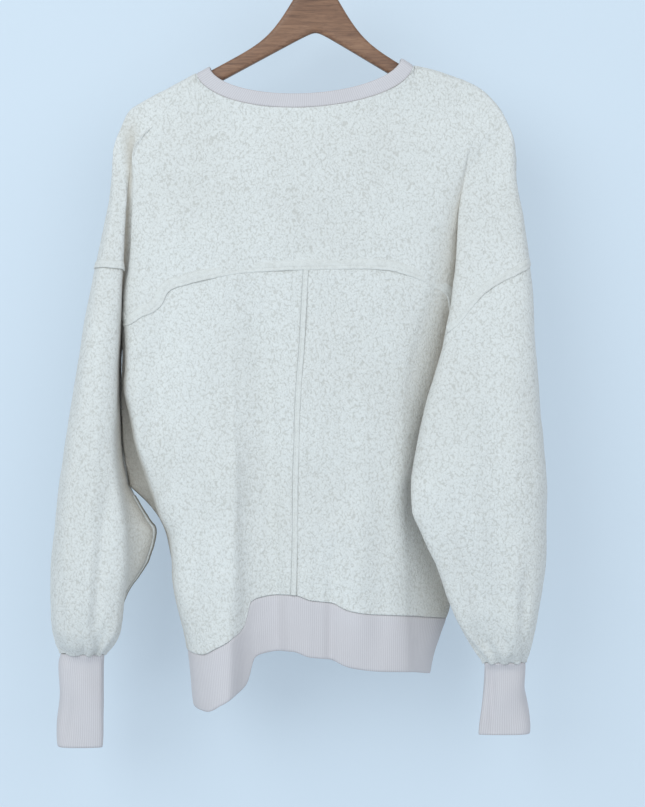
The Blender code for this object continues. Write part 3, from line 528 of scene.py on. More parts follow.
def rows_through(start, middle, end, count):
    """Rows of depths from start to end, with count rows above and below the middle line."""
    upper = start + (middle - start) * even(0, 1, count)[:, None]
    lower = middle + (end - middle) * even(0, 1, count)[1:, None]
    return np.concatenate([upper, lower])


def sheet_normals(face, u, down):
    """Normals of a sheet, taken inside each lobe, and square to the fold where two sheets meet."""
    lobe = np.clip(np.floor(u), 0, 2)
    normal = normals(lambda p, q: sheet(face, p, q), u, down, lobe + 1e-6, lobe + 1 - 1e-6)
    return -normal if face == "near" else normal


def top_normals(face, u):
    """Normals along a sheet's top edge, level where it folds over the shoulder."""
    top = top_line(face, u)
    normal = sheet_normals(face, u, top + 1.5)
    on_shoulder = neck_arc(NECK_SEAM, read(TOP_COLUMNS, "across", u, "lobes")) < 1e-3
    normal[on_shoulder, 1] = 0
    return unit(normal)


def sleeve_normals(side, around, down):
    """Normals of a sleeve, which point away from the garment at its silhouette."""
    lobe = np.where(around <= 1, 0.0, 1.0)
    normal = normals(lambda p, q: sleeve(side, p, q), around, down, lobe + 1e-6, lobe + 1 - 1e-6)
    away = -1.0 if side == "left" else 1.0
    return normal * np.sign(away * normal[:, around.shape[1] // 2, 0].sum())


def neck_ring(turn, rise):
    """A point of the neckband: turn goes once round from the left shoulder point over the back,
    and rise from 0 at its seam to 1 at its free edge."""
    near = np.sin(turn) >= 0
    arc = np.abs(np.sin(turn))
    place = 0.5 - 0.5 * np.cos(turn)
    across = NECK_SEAM["left"] + (NECK_SEAM["right"] - NECK_SEAM["left"]) * place
    down = np.where(near, top_edge("near", across), top_edge("far", across))
    side_out = np.where(near, BRIM_OUT["back"], BRIM_OUT["front"])
    seam_out = side_out * over_arm(np.where(near, SEAM_DROP["back"], SEAM_DROP["front"]) * arc)
    seam = np.stack([across, -seam_out, -down], axis=-1)
    dip = np.where(near, EDGE_DROP["back"], EDGE_DROP["front"]) * arc
    across = NECK_EDGE["left"] + (NECK_EDGE["right"] - NECK_EDGE["left"]) * place
    down = NECK_EDGE["left_down"] + (NECK_EDGE["right_down"] - NECK_EDGE["left_down"]) * place + dip
    edge = np.stack([across, -side_out * over_arm(dip), -down], axis=-1)
    return seam + (edge - seam) * np.asarray(rise)[..., None]


def hanger_under(across):
    """Down to the hanger's lower edge: two straight arms with a rounded apex, hung a little askew."""
    run = np.sqrt(across**2 + HANGER_APEX_ROUND**2) - HANGER_APEX_ROUND
    return HANGER_UNDER + HANGER_SLOPE * run + HANGER_TILT * across


def hanger_height(across):
    """Height of the arms, with the hump that takes the hook."""
    return HANGER_ARM + HANGER_HUMP * np.exp(-((across / HANGER_HUMP_WIDTH) ** 2))


# Looks. Fine grids: columns across a lobe and the body, and rows down each stretch.
BACK_GRID = {"lobe": 58, "body": 236, "yoke": 112, "panel": 208}
FRONT_GRID = {"lobe": 44, "body": 168, "yoke": 84, "panel": 112}
SLEEVE_GRID = {"around": 74, "cap": 78, "tube": 118}
HEM_GRID = {"body": 200, "rows": 26}
NECK_GRID = {"turn": 420, "rows": 12}
CUFF_GRID = {"around": 60, "rows": 40}
NAP_CELL = 4.4
NAP_LIFT = 0.45
SWAY_CELL = 46.0
SWAY_LIFT = 1.1
RIB_PITCH = 2.4
RIB_ROUNDING = 0.8
RIB_SWAY = 0.5
RIB_SWAY_CELL = 22.0
TOP_CROWDING = 1.25
PLEATS = 11
PLEAT_LIFT = 1.9
GATHER = 60.0
CUFF_CREASE = {"left": 0.72, "right": 0.45}
CREASE_DEPTH = 3.0
TWIST = 2.2
BAND_WALL = 0.7


def hashed(cell, salt):
    """A number from 0 to 1 for every whole-number cell, always the same for the same cell."""
    mixed = (cell * np.array([73856093, 19349663, 83492791], np.int64)).sum(axis=-1) + salt * 2654435761
    mixed = (mixed ^ (mixed >> 13)) * 1274126177
    mixed = mixed ^ (mixed >> 16)
    return (mixed & 0xFFFFFF) / float(0xFFFFFF)


def curls(points, size):
    """1 at the middle of each curl of pile and 0 between curls: distance to the nearest of one
    random point in each cell of a cubic lattice of that size."""
    at = points / size
    base = np.floor(at).astype(np.int64)
    nearest = np.full(at.shape[:-1], 9.0)
    for step in np.ndindex(3, 3, 3):
        cell = base + np.array(step) - 1
        spot = cell + np.stack([hashed(cell, k) for k in (1, 2, 3)], axis=-1)
        nearest = np.minimum(nearest, ((at - spot) ** 2).sum(axis=-1))
    return 1.0 - np.clip(np.sqrt(nearest), 0.0, 1.0)


def drift(points, size, salt):
    """Smooth noise from -1 to 1: random values at the corners of a lattice, blended between them."""
    at = points / size
    base = np.floor(at).astype(np.int64)
    part = smooth(at - base)
    total = np.zeros(at.shape[:-1])
    for step in np.ndindex(2, 2, 2):
        weight = np.where(np.array(step) == 1, part, 1.0 - part).prod(axis=-1)
        total += weight * hashed(base + np.array(step), salt)
    return 2.0 * total - 1.0


def fleece_lift(points):
    """How far the pile stands off the cloth: slow sways of the cloth, and its curls."""
    stretched = points * np.array([1.0, 1.0, 0.8])
    wavy = stretched + 1.6 * np.stack([drift(points, 7.0, k) for k in (11, 12, 13)], axis=-1)
    sway = SWAY_LIFT * drift(points, SWAY_CELL, 5) + 0.5 * drift(points, 0.4 * SWAY_CELL, 6)
    return sway + NAP_LIFT * (curls(wavy, NAP_CELL) - 0.45)


def unit(vectors):
    """The same directions, each one long."""
    return vectors / np.maximum(np.linalg.norm(vectors, axis=-1, keepdims=True), 1e-12)


def shell(name, grid, normal, wall, index=None, cells=None, uv=None, painted_shade=None):
    """A closed thin wall: the grid as its outer face, the same grid moved in by the wall as its
    inner face, and a rim along every free edge. index joins grid points that are one."""
    rows, columns = grid.shape[:2]
    if index is None:
        index = np.arange(rows * columns).reshape(rows, columns)
    if cells is None:
        cells = np.ones((rows - 1, columns - 1), bool)
    quads = np.stack([index[:-1, :-1], index[1:, :-1], index[1:, 1:], index[:-1, 1:]], axis=-1)[cells]
    points, normal = grid.reshape(-1, 3), normal.reshape(-1, 3)
    corner = points[quads[:, 0]]
    facing = np.cross(points[quads[:, 1]] - corner, points[quads[:, 3]] - corner)
    if (facing * normal[quads[:, 0]]).sum() < 0:
        quads = quads[:, ::-1]
    ends = np.stack([quads, np.roll(quads, -1, axis=1)], axis=-1).reshape(-1, 2)
    key = ends.min(axis=1) * len(points) + ends.max(axis=1)
    _, place, count = np.unique(key, return_inverse=True, return_counts=True)
    free = ends[count[place.reshape(-1)] == 1]
    used = np.unique(quads)
    new = np.zeros(len(points), np.int64)
    new[used] = np.arange(len(used))
    n = len(used)
    outer, free = new[quads], new[free]
    rims = np.stack([free[:, 1], free[:, 0], n + free[:, 0], n + free[:, 1]], axis=-1)
    faces = np.concatenate([outer, n + outer[:, ::-1], rims])
    every = np.concatenate([points[used], (points - wall * normal)[used]])
    values = {}
    if uv is not None:
        values["uv"] = np.tile(uv.reshape(-1, 2)[used], (2, 1))
    # Painted shade for each point, none where it is not given.
    shade = np.zeros(len(points)) if painted_shade is None else painted_shade.reshape(-1)
    values["painted_shade"] = np.tile(shade[used], 2)
    return solid(name, every, faces, values)


def solid(name, points, faces, values=None):
    """A smooth-shaded mesh object from arrays of points (millimetres) and four-sided faces."""
    mesh = bpy.data.meshes.new(name)
    mesh.vertices.add(len(points))
    mesh.vertices.foreach_set("co", (points * MM).ravel())
    mesh.loops.add(faces.size)
    mesh.loops.foreach_set("vertex_index", faces.ravel().astype(np.int32))
    mesh.polygons.add(len(faces))
    mesh.polygons.foreach_set("loop_start", np.arange(0, faces.size, 4, dtype=np.int32))
    mesh.polygons.foreach_set("use_smooth", np.ones(len(faces), bool))
    mesh.update(calc_edges=True)
    values = values or {}
    if "uv" in values:
        layer = mesh.uv_layers.new(name="cloth")
        layer.data.foreach_set("uv", (values["uv"][faces.ravel()] * MM).ravel())
    if "painted_shade" in values:
        shade = mesh.attributes.new("painted_shade", "FLOAT", "POINT")
        shade.data.foreach_set("value", values["painted_shade"])
    made = bpy.data.objects.new(name, mesh)
    bpy.context.scene.collection.objects.link(made)
    return made


def lengths(path):
    """The length of a path from its start to each of its points."""
    return np.concatenate([[0], np.cumsum(np.linalg.norm(np.diff(path, axis=0), axis=1))])


def spaced(curve, low, high, count, blend=0.8):
    """Places from low to high, at nearly equal steps along the curve that curve(place) draws."""
    place = np.linspace(low + 1e-7, high - 1e-7, 900)
    run = lengths(curve(place))
    run = blend * run / run[-1] + (1 - blend) * (place - place[0]) / (place[-1] - place[0])
    found = np.interp(np.linspace(0, 1, count + 1), run, place)
    found[0], found[-1] = low, high
    return found


def fine_columns(face, grid, level):
    """Column places of a sheet over its three lobes, spaced evenly at one level."""
    row = lambda u: sheet(face, u, np.full_like(u, level))
    left = spaced(row, 0.0, 1.0, grid["lobe"])
    body = spaced(row, 1.0, 2.0, grid["body"])
    right = spaced(row, 2.0, 3.0, grid["lobe"])
    return np.concatenate([left[:-1], body[:-1], right])


def groove_painted_shade(u, down):
    """Painted shade in the grooves: how deep a point lies in one of the two grooves, 0 in the open and 1
    beside the seam, and in the web behind the body's left roll.
    """
    near_left = np.exp(-(((u - 1.0) / np.where(u < 1, 0.18, 0.04)) ** 2)) * smooth((down - 215) / 60)
    near_right = np.exp(-(((u - 2.0) / np.where(u < 2, 0.13, 0.28)) ** 2)) * smooth((down - 260) / 90)
    beyond = read(BODY, "left", down) + 3.0 - body_face("near", np.clip(u - 1.0, 0.0, 1.0), down)[0]
    web = 0.8 * smooth(beyond / 5.0) * smooth((down - 440) / 90) * ((u > 1) & (u < 1.5))
    return np.maximum(np.maximum(near_left, near_right), web)


def fleece_shell(name, points, normal, painted_shade, **more):
    """A fleece piece: its pile lifts the outer face, and its inner face stays even."""
    lift = fleece_lift(points)
    wall = (FLEECE_WALL + lift)[..., None]
    return shell(name, points + normal * lift[..., None], normal, wall.reshape(-1, 1), painted_shade=painted_shade, **more)


def build_upper(face, grid):
    """A sheet from its top edge to the yoke line over all three lobes: columns, points, normals, painted
    groove shade.
    """
    u = fine_columns(face, grid, 480.0)
    top, seam = top_line(face, u), yoke_line(face, u)
    rows = even(0.0, 1.0, grid["yoke"])[:, None] ** TOP_CROWDING
    down = top + (seam - top) * rows
    wide = u * np.ones_like(rows)
    points = sheet(face, wide, down)
    normal = sheet_normals(face, wide, down + 1.5 * (rows == 0))
    normal[0] = top_normals(face, u)
    for column in (grid["lobe"], grid["lobe"] + grid["body"]):
        normal[1:, column] = normal[1:, column - 1] + normal[1:, column + 1]
    return u, points, normal, groove_painted_shade(wide, down)


def build_lower(face, grid, u):
    """A sheet's body from the yoke line to the hem, with one row of points at the underarms."""
    first, last = (UNDERARM[side]["down"][0] for side in ("left", "right"))
    underarm = first + (last - first) * (u - 1)
    down = rows_through(yoke_line(face, u), underarm, hem_line(face, u), grid["panel"] // 2)
    wide = u * np.ones((len(down), 1))
    points, normal = sheet(face, wide, down), sheet_normals(face, wide, down)
    normal[:, [0, -1], 1] = 0
    return points, normal, groove_painted_shade(wide, down)


def body_columns(u, grid):
    """The places of the body's own columns, which stop just short of the right sleeve's lobe."""
    u = u[body_slice(grid)].copy()
    u[-1] = 2 - 1e-7
    return u


def body_slice(grid):
    """Which columns of a sheet lie on the body."""
    return slice(grid["lobe"], grid["lobe"] + grid["body"] + 1)


def build_back():
    """The yoke across both shoulders, and the two lower panels that meet at the centre seam."""
    u, points, normal, painted_shade = build_upper("near", BACK_GRID)
    made = {"yoke": fleece_shell("back_yoke_fleece", points, unit(normal), painted_shade)}
    u = body_columns(u, BACK_GRID)
    middle = int(np.argmin(np.abs(u - 1.5)))
    u[middle] = 1.5
    points, normal, painted_shade = build_lower("near", BACK_GRID, u)
    for side, part in (("left", slice(0, middle + 1)), ("right", slice(middle, None))):
        made[side] = fleece_shell(f"back_{side}_fleece", points[:, part], unit(normal)[:, part], painted_shade[:, part])
    return made


def build_front():
    """The whole front: its upper part over all three lobes and, below, the body alone."""
    u, points, normal, painted_shade = build_upper("far", FRONT_GRID)
    lobe, inside = FRONT_GRID["lobe"], body_slice(FRONT_GRID)
    lower, lower_normal, lower_painted_shade = build_lower("far", FRONT_GRID, body_columns(u, FRONT_GRID))
    count = len(lower) - 1
    grid, grid_normal, grid_painted_shade = (np.repeat(upper[-1:], count, axis=0) for upper in (points, normal, painted_shade))
    grid[:, inside], grid_normal[:, inside], grid_painted_shade[:, inside] = lower[1:], lower_normal[1:], lower_painted_shade[1:]
    cells = np.ones((len(points) - 1 + count, points.shape[1] - 1), bool)
    cells[len(points) - 1 :, :lobe] = cells[len(points) - 1 :, -lobe:] = False
    points, normal = np.concatenate([points, grid]), unit(np.concatenate([normal, grid_normal]))
    return fleece_shell("front_fleece", points, normal, np.concatenate([painted_shade, grid_painted_shade]), cells=cells)


def around_columns(side, count, level):
    """Column places round a sleeve, spaced evenly at one level."""
    curve = lambda at: sleeve(side, at, np.full_like(at, level))
    near = spaced(curve, 0.0, 1.0, count)
    far = spaced(curve, 1.0, 2.0, count)
    around = np.concatenate([near[:-1], far])
    around[-1] = 2 - 1e-9
    return around


def closed(rows, columns, from_row):
    """Grid indices whose last column is the first one, from from_row down."""
    index = np.arange(rows * columns).reshape(rows, columns)
    index[from_row:, -1] = index[from_row:, 0]
    return index


def build_sleeve(side):
    """A sleeve: open at the armhole above the underarm, a closed tube below, gathered to its cuff."""
    around = around_columns(side, SLEEVE_GRID["around"], 620.0)
    underarm = GROOVE[side]["down"][-1]
    start = read(ARMHOLE[side], "down", np.abs(1.0 - around), "around") + ARMHOLE_CLEARANCE
    cap = start + (underarm - start) * even(0, 1, SLEEVE_GRID["cap"])[:, None]
    tube = underarm + (CUFF_SEAM[side] - underarm) * even(0, 1, SLEEVE_GRID["tube"])[1:, None] ** 0.9
    down = np.concatenate([cap, tube * np.ones_like(around)])
    turn = around * np.ones((len(down), 1))
    points, normal = sleeve(side, turn, down), sleeve_normals(side, turn, down)
    normal[:, [0, -1], 1] = 0
    beside = np.minimum(turn, 2 - turn)
    # Painted shade beside the groove, a little lighter below the underarm.
    painted_shade = np.exp(-((beside / 0.22) ** 2)) * (1.0 - 0.15 * smooth((down - underarm) / 60))
    index = closed(*points.shape[:2], SLEEVE_GRID["cap"])
    lift = fleece_lift(points)
    lift[:, -1] = lift[:, 0]
    gather = smooth((down - CUFF_SEAM[side] + GATHER) / GATHER)
    pleats = PLEAT_LIFT * gather * np.sin(turn * math.pi * PLEATS + 3.0 * drift(points, 34.0, 9))
    lift = lift + pleats * smooth(beside / 0.1)
    wall = (FLEECE_WALL + lift).reshape(-1, 1)
    normal = unit(normal)
    return shell(f"sleeve_{side}_fleece", points + normal * lift[..., None], normal, wall, index, painted_shade=painted_shade)


def along_rows(points):
    """Distance along each row of a grid, averaged over the rows."""
    step = np.linalg.norm(np.diff(points, axis=1), axis=-1).mean(axis=0)
    return np.concatenate([[0], np.cumsum(step)])


def rib_shell(name, points, normal, down, index):
    """A ribbed piece: fine ribs run across its rows, and its two free edges are rounded."""
    run = along_rows(points) * np.ones((len(points), 1))
    count = np.round(run[0, -1] / RIB_PITCH)
    run = run / run[0, -1] * count * RIB_PITCH
    place = even(0, 1, len(points) - 1)[:, None]
    rounding = np.sqrt(np.clip(1 - (2 * place - 1) ** 6, 0, 1)) - 1
    lift = RIB_ROUNDING * rounding + RIB_SWAY * drift(points, RIB_SWAY_CELL, 21) * np.sin(math.pi * place)
    lift[:, -1] = lift[:, 0]
    uv = np.stack([run, down * np.ones_like(run)], axis=-1)
    return shell(name, points + normal * lift[..., None], normal, RIB_WALL, index, uv=uv)


def build_hem():
    """The hem's ring: the back's rows and then the front's, joined at both sides."""
    parts = []
    for face, side in (("near", "back"), ("far", "front")):
        row = lambda u: sheet(face, u, np.full_like(u, 850.0))
        u = spaced(row, 1.0, 2.0, HEM_GRID["body"])
        u[-1] = 2 - 1e-7
        top = hem_line(face, u) + HEM_CLEARANCE
        down = top + RIB_DEPTH[side] * even(0, 1, HEM_GRID["rows"])[:, None]
        columns = u * np.ones_like(down)
        parts.append((sheet(face, columns, down), sheet_normals(face, columns, down)))
    points, normal = (np.concatenate([near, far[:, -2::-1]], axis=1) for near, far in zip(*parts))
    normal[:, [0, HEM_GRID["body"], -1], 1] = 0
    points[:, -1] = points[:, 0]
    down = RIB_DEPTH["back"] * even(0, 1, HEM_GRID["rows"])[:, None]
    return rib_shell("hem_rib", points, unit(normal), down, closed(*points.shape[:2], 0))


def build_neck():
    """The neckband's ring, which turns over at its free edge as a folded band does."""
    turn = even(0, 2 * math.pi, NECK_GRID["turn"]) * np.ones((NECK_GRID["rows"] + 1, 1))
    rise = even(0.02, 1, NECK_GRID["rows"])[:, None] * np.ones_like(turn)
    points = neck_ring(turn, rise)
    along = neck_ring(turn + 0.004, rise) - neck_ring(turn - 0.004, rise)
    up = neck_ring(turn, rise + 0.05) - neck_ring(turn, rise - 0.05)
    normal = unit(np.cross(along, up))
    normal *= np.sign(-normal[0, NECK_GRID["turn"] // 4, 1])
    points[:, -1] = points[:, 0]
    normal[:, [0, -1]] = unit(normal[:, 1] + normal[:, -2])[:, None]
    return rib_shell("neckband_rib", points, normal, 20.0 * rise, closed(*points.shape[:2], 0))


def build_cuff(side):
    """A cuff's tube, a little twisted, with one crease pressed in along it."""
    around = around_columns(side, CUFF_GRID["around"], 900.0)
    down = even(CUFF_SEAM[side] + 0.3, CUFF_END[side], CUFF_GRID["rows"])[:, None] * np.ones_like(around)
    turn = around * np.ones_like(down)
    points, normal = sleeve(side, turn, down), sleeve_normals(side, turn, down)
    normal[:, [0, -1], 1] = 0
    points[:, -1], normal[:, -1] = points[:, 0], normal[:, 0]
    along = (down - CUFF_SEAM[side]) / (CUFF_END[side] - CUFF_SEAM[side])
    middle = np.sin(math.pi * along)
    twist = TWIST * np.sin(turn * math.pi * 3 + along * 5.0) * middle * np.sin(turn * math.pi / 2) ** 2
    crease = np.exp(-(((turn - CUFF_CREASE[side] - 0.1 * along) / 0.06) ** 2))
    twist = twist - CREASE_DEPTH * crease * np.sin(math.pi * np.clip(along, 0, 1)) ** 0.5
    points = points + unit(normal) * twist[..., None]
    return rib_shell(f"cuff_{side}_rib", points, unit(normal), down, closed(*points.shape[:2], 0))


def seam_band(name, path, normal, free, width, ragged=0.35):
    """A raw seam allowance pressed flat on the cloth: a strip beside a path. It stands proud and
    slightly frayed at its free edge, free millimetres from the path, and sinks into the pile at
    its other edge, width millimetres further on; a sunk line of stitches runs along it."""
    ahead = unit(np.gradient(path, axis=0))
    beside = unit(np.cross(normal, ahead))
    across = np.array([0.0, 0.3, 0.9, 2.0, 3.4, 4.2, 5.0, 6.5, 0.8 * abs(width), abs(width)])
    across = np.minimum(across, abs(width)) * np.sign(width)
    height = np.array([-1.5, 0.9, 1.2, 1.15, 1.0, 0.6, 0.85, 0.7, 0.35, -0.8])
    fray = ragged * (drift(path, 2.6, 31) + 0.6 * drift(path, 9.0, 32))
    offset = free + across[None] + fray[:, None] * (1 - np.abs(across / width))[None]
    rise = height + 0.3 * drift(path, 9.0, 33)[:, None]
    grid = path[:, None] + beside[:, None] * offset[..., None] + normal[:, None] * rise[..., None]
    offset = np.abs(across)[None] * np.ones_like(offset)
    spread = np.repeat(normal[:, None], len(across), axis=1)
    uv = np.stack([lengths(path)[:, None] * np.ones_like(offset), offset], axis=-1)
    return shell(name, grid, spread, BAND_WALL, uv=uv)


def build_bands():
    """The raw seam allowances that show: yoke, both armholes, centre back, both underarms."""
    made = {}
    u = np.linspace(1.025, 1.975, 330)
    down = yoke_line("near", u)
    made["yoke"] = seam_band("seam_yoke", sheet("near", u, down), sheet_normals("near", u, down), -1.0, 13.0)
    middle = np.array([1.5])
    down = np.linspace(yoke_line("near", middle)[0] + 1, hem_line("near", middle)[0], 300)
    u = np.full_like(down, 1.5)
    points, normal = sheet("near", u, down), sheet_normals("near", u, down)
    made["centre"] = seam_band("seam_centre_back", points, normal, 1.0, -7.0)
    for side, low, high in (("left", 0.22, 1.8), ("right", 0.36, 1.75)):
        around = np.linspace(low, high, 300)
        down = read(ARMHOLE[side], "down", np.abs(1.0 - around), "around")
        points, normal = sleeve(side, around, down), sleeve_normals(side, around[None], down[None])[0]
        flip = 1 if side == "left" else -1
        made[f"armhole_{side}"] = seam_band(f"seam_armhole_{side}", points, normal, flip * 1.0, -flip * 10.0)
    for side, first, last in (("left", 662, 800), ("right", 668, 838)):
        down = np.linspace(first, last, 200)
        around = np.full_like(down, 0.03)
        points, normal = sleeve(side, around, down), sleeve_normals(side, around[None], down[None])[0]
        made[f"underarm_{side}"] = seam_band(f"seam_underarm_{side}", points, normal, -2.5, 5.5, 0.7)
    return made


def ring_solid(name, rings):
    """A closed solid over a stack of rings, its two ends drawn together to a point."""
    count, sides = rings.shape[:2]
    index = np.arange(count * sides).reshape(count, sides)
    nxt = np.roll(index, -1, axis=1)
    faces = np.stack([index[:-1], nxt[:-1], nxt[1:], index[1:]], axis=-1).reshape(-1, 4)
    made = solid(name, rings.reshape(-1, 3), faces)
    mesh = made.data
    work = bmesh.new()
    work.from_mesh(mesh)
    bmesh.ops.holes_fill(work, edges=[e for e in work.edges if e.is_boundary], sides=0)
    bmesh.ops.recalc_face_normals(work, faces=work.faces)
    work.to_mesh(mesh)
    work.free()
    mesh.polygons.foreach_set("use_smooth", np.ones(len(mesh.polygons), bool))
    return made


def build_hanger():
    """The arms as rounded sections along the hanger, and the hook as rings along its wire."""
    place = even(-1, 1, 260)
    across = HANGER_HALF_LENGTH * np.sign(place) * np.abs(place) ** HANGER_CROWDING
    height = hanger_height(across)
    centre = hanger_under(across) - 0.5 * height
    close = np.clip((HANGER_HALF_LENGTH - np.abs(across)) / HANGER_TIP, 0.0, 1.0)
    close = np.sqrt(1.0 - (1.0 - close) ** 2) * 0.97 + 0.03
    angle = np.linspace(0, 2 * math.pi, 40, endpoint=False)
    round_cos = np.sign(np.cos(angle)) * np.abs(np.cos(angle)) ** HANGER_SQUARENESS
    round_sin = np.sign(np.sin(angle)) * np.abs(np.sin(angle)) ** HANGER_SQUARENESS
    rings = np.stack(
        [
            across[:, None] * np.ones_like(angle),
            0.5 * HANGER_THICKNESS * close[:, None] * round_cos,
            -centre[:, None] - 0.5 * (height * close)[:, None] * round_sin,
        ],
        axis=-1,
    )
    wood = ring_solid("hanger_arms", rings)
    wire = 0.5 * HOOK_WIRE
    radius = HOOK_INNER_RADIUS + wire
    wood_top = hanger_under(0.0) - hanger_height(0.0)
    turn = np.radians(np.linspace(*HOOK_TURN, 90))
    loop = np.stack([radius * np.cos(turn), 0 * turn, radius * np.sin(turn) - HOOK_INNER_RADIUS], axis=-1)
    foot = -wood_top + 0.4
    neck = [(0, 0, foot), (0, 0, foot + 3.5), (0, 0, foot + 5), (0, 0, foot + 8)]
    neck += [(1.5, 0, foot + 12), (6.5, 0, foot + 16.5)]
    path = np.concatenate([np.array(neck, float), loop])
    radii = np.full(len(path), wire)
    radii[:2], radii[2] = 3.6, 2.4
    radii[-1] = 0.6 * wire
    ahead = unit(np.gradient(path, axis=0))
    level = np.tile([0.0, 1.0, 0.0], (len(path), 1))
    upright = np.cross(ahead, level)
    angle = np.linspace(0, 2 * math.pi, 24, endpoint=False)
    rings = path[:, None] + radii[:, None, None] * (
        np.cos(angle)[None, :, None] * upright[:, None] + np.sin(angle)[None, :, None] * level[:, None]
    )
    return wood, ring_solid("hanger_hook_wire", rings)


# Materials. Tones are places along a height or a grain with the colour there; lengths are in metres.
# Fleece tones darken the low places between the curls: painted shade.
FLEECE_TONES = (0.30, (0.615, 0.595, 0.55)), (0.47, (0.725, 0.71, 0.67)), (0.72, (0.775, 0.765, 0.73))
# Rib tones darken the channels between the ribs: painted shade.
RIB_TONES = (0.10, (0.575, 0.53, 0.53)), (0.42, (0.635, 0.59, 0.592)), (0.8, (0.66, 0.617, 0.62))
WOOD_TONES = (0.32, (0.150, 0.067, 0.034)), (0.5, (0.245, 0.120, 0.063)), (0.7, (0.32, 0.166, 0.090))
STITCH_PITCH = 0.0032
STITCH_PLACE = 0.0042
EDGE_SHADOW_WIDTH = 0.0002
LOOP_PITCH = 0.0017


class Shader:
    """A material's node tree, with short calls for the nodes it needs."""

    def __init__(self, name):
        """A new material, with its surface node at hand."""
        self.material = bpy.data.materials.new(name)
        self.material.use_nodes = True
        self.tree = self.material.node_tree
        self.surface = self.tree.nodes["Principled BSDF"]

    def node(self, kind, inputs=(), **settings):
        """A node with its settings; each input takes a constant or another node's output."""
        made = self.tree.nodes.new(kind)
        for key, value in settings.items():
            setattr(made, key, value)
        for key, value in dict(inputs).items():
            if isinstance(value, bpy.types.NodeSocket):
                self.tree.links.new(value, made.inputs[key])
            else:
                made.inputs[key].default_value = value
        return made

    def math(self, operation, *values):
        """The result of one arithmetic node."""
        return self.node("ShaderNodeMath", dict(enumerate(values)), operation=operation).outputs[0]

    def times(self, first, second):
        """The product of two values."""
        return self.math("MULTIPLY", first, second)

    def minus(self, first, second):
        """The first value less the second."""
        return self.math("SUBTRACT", first, second)

    def weighted(self, *parts):
        """The sum of values, each times its weight."""
        total = None
        for value, weight in parts:
            value = self.times(value, weight)
            total = value if total is None else self.math("ADD", total, value)
        return total

    def ramp(self, value, *stops):
        """Colours along a value, from stops of a place and a colour."""
        made = self.node("ShaderNodeValToRGB", {"Fac": value})
        ramp = made.color_ramp
        while len(ramp.elements) < len(stops):
            ramp.elements.new(0.5)
        for element, (place, colour) in zip(ramp.elements, stops):
            element.position = place
            element.color = (*colour, 1.0)
        return made.outputs["Color"]

    def mix(self, factor, first, second, blend="MIX"):
        """Two colours blended by a factor."""
        made = self.node("ShaderNodeMix", data_type="RGBA", blend_type=blend)
        for socket, value in ((made.inputs[0], factor), (made.inputs[6], first), (made.inputs[7], second)):
            if isinstance(value, bpy.types.NodeSocket):
                self.tree.links.new(value, socket)
            elif isinstance(value, tuple):
                socket.default_value = (*value, 1.0)
            else:
                socket.default_value = value
        return made.outputs[2]

    def place(self, scale=(1.0, 1.0, 1.0), uv=False):
        """Object coordinates, or the cloth's own UV, times a scale."""
        if uv:
            source = self.node("ShaderNodeUVMap", uv_map="cloth").outputs[0]
        else:
            source = self.node("ShaderNodeTexCoord").outputs["Object"]
        return self.node("ShaderNodeMapping", {"Vector": source, "Scale": scale}).outputs[0]

    def noise(self, vector, scale, detail=2.0, rough=0.5, distort=0.0):
        """Soft noise at a place."""
        made = self.node("ShaderNodeTexNoise", {"Vector": vector, "Scale": scale, "Detail": detail})
        made.inputs["Roughness"].default_value = rough
        made.inputs["Distortion"].default_value = distort
        return made.outputs["Fac"]

    def clouded(self, colour, at, scale):
        """A colour with faint darker clouds."""
        tone = self.ramp(self.noise(at, scale), (0.3, (0.95, 0.945, 0.94)), (0.7, (1.0, 1.0, 1.0)))
        return self.mix(1.0, colour, tone, "MULTIPLY")

    def bump(self, height, distance, strength=1.0):
        """A normal tilted by a height, as if it were relief of that distance."""
        made = self.node("ShaderNodeBump", {"Height": height, "Distance": distance, "Strength": strength})
        return made.outputs[0]

    def finish(self, colour, normal, **constants):
        """Joins the colour and normal to the surface, sets its constants and gives the material."""
        self.tree.links.new(colour, self.surface.inputs["Base Color"])
        self.tree.links.new(normal, self.surface.inputs["Normal"])
        for key, value in constants.items():
            self.surface.inputs[key.replace("_", " ")].default_value = value
        return self.material


def fleece_material():
    """Curly cream pile: rounded curls with valleys darkened as painted shade, finer crimp, and painted shade
    in the grooves.
    """
    s = Shader("sherpa_fleece")
    at = s.place((1.0, 1.0, 0.8))
    wander = s.node("ShaderNodeTexNoise", {"Vector": at, "Scale": 160.0, "Detail": 1.0})
    centred = {0: wander.outputs["Color"], 1: (0.5, 0.5, 0.5)}
    shift = s.node("ShaderNodeVectorMath", centred, operation="SUBTRACT")
    shift = s.node("ShaderNodeVectorMath", {0: shift.outputs[0], "Scale": 0.006}, operation="SCALE")
    moved = s.node("ShaderNodeVectorMath", {0: at, 1: shift.outputs[0]}, operation="ADD").outputs[0]
    curl = {"Vector": moved, "Scale": 450.0, "Smoothness": 0.2}
    curl = s.node("ShaderNodeTexVoronoi", curl, feature="SMOOTH_F1").outputs["Distance"]
    curl = s.minus(1.0, curl)
    worm = s.noise(moved, 620.0, 2.0, 0.6, 1.4)
    worm = s.minus(1.0, s.times(s.math("ABSOLUTE", s.minus(worm, 0.5)), 5.0))
    fuzz = s.noise(at, 1900.0, 3.0, 0.7)
    height = s.weighted((curl, 0.78), (worm, 0.16), (fuzz, 0.08))
    colour = s.clouded(s.ramp(height, *FLEECE_TONES), at, 9.0)
    # Painted shade in the grooves: the point attribute mixes in a dark brown.
    deep = s.node("ShaderNodeAttribute", attribute_name="painted_shade").outputs["Fac"]
    colour = s.mix(s.times(deep, 0.62), colour, (0.47, 0.40, 0.31))
    normal = s.bump(height, 0.0012, 0.65)
    return s.finish(
        colour, normal, Roughness=0.97, Specular_IOR_Level=0.12, Sheen_Weight=0.28, Sheen_Roughness=0.55
    )


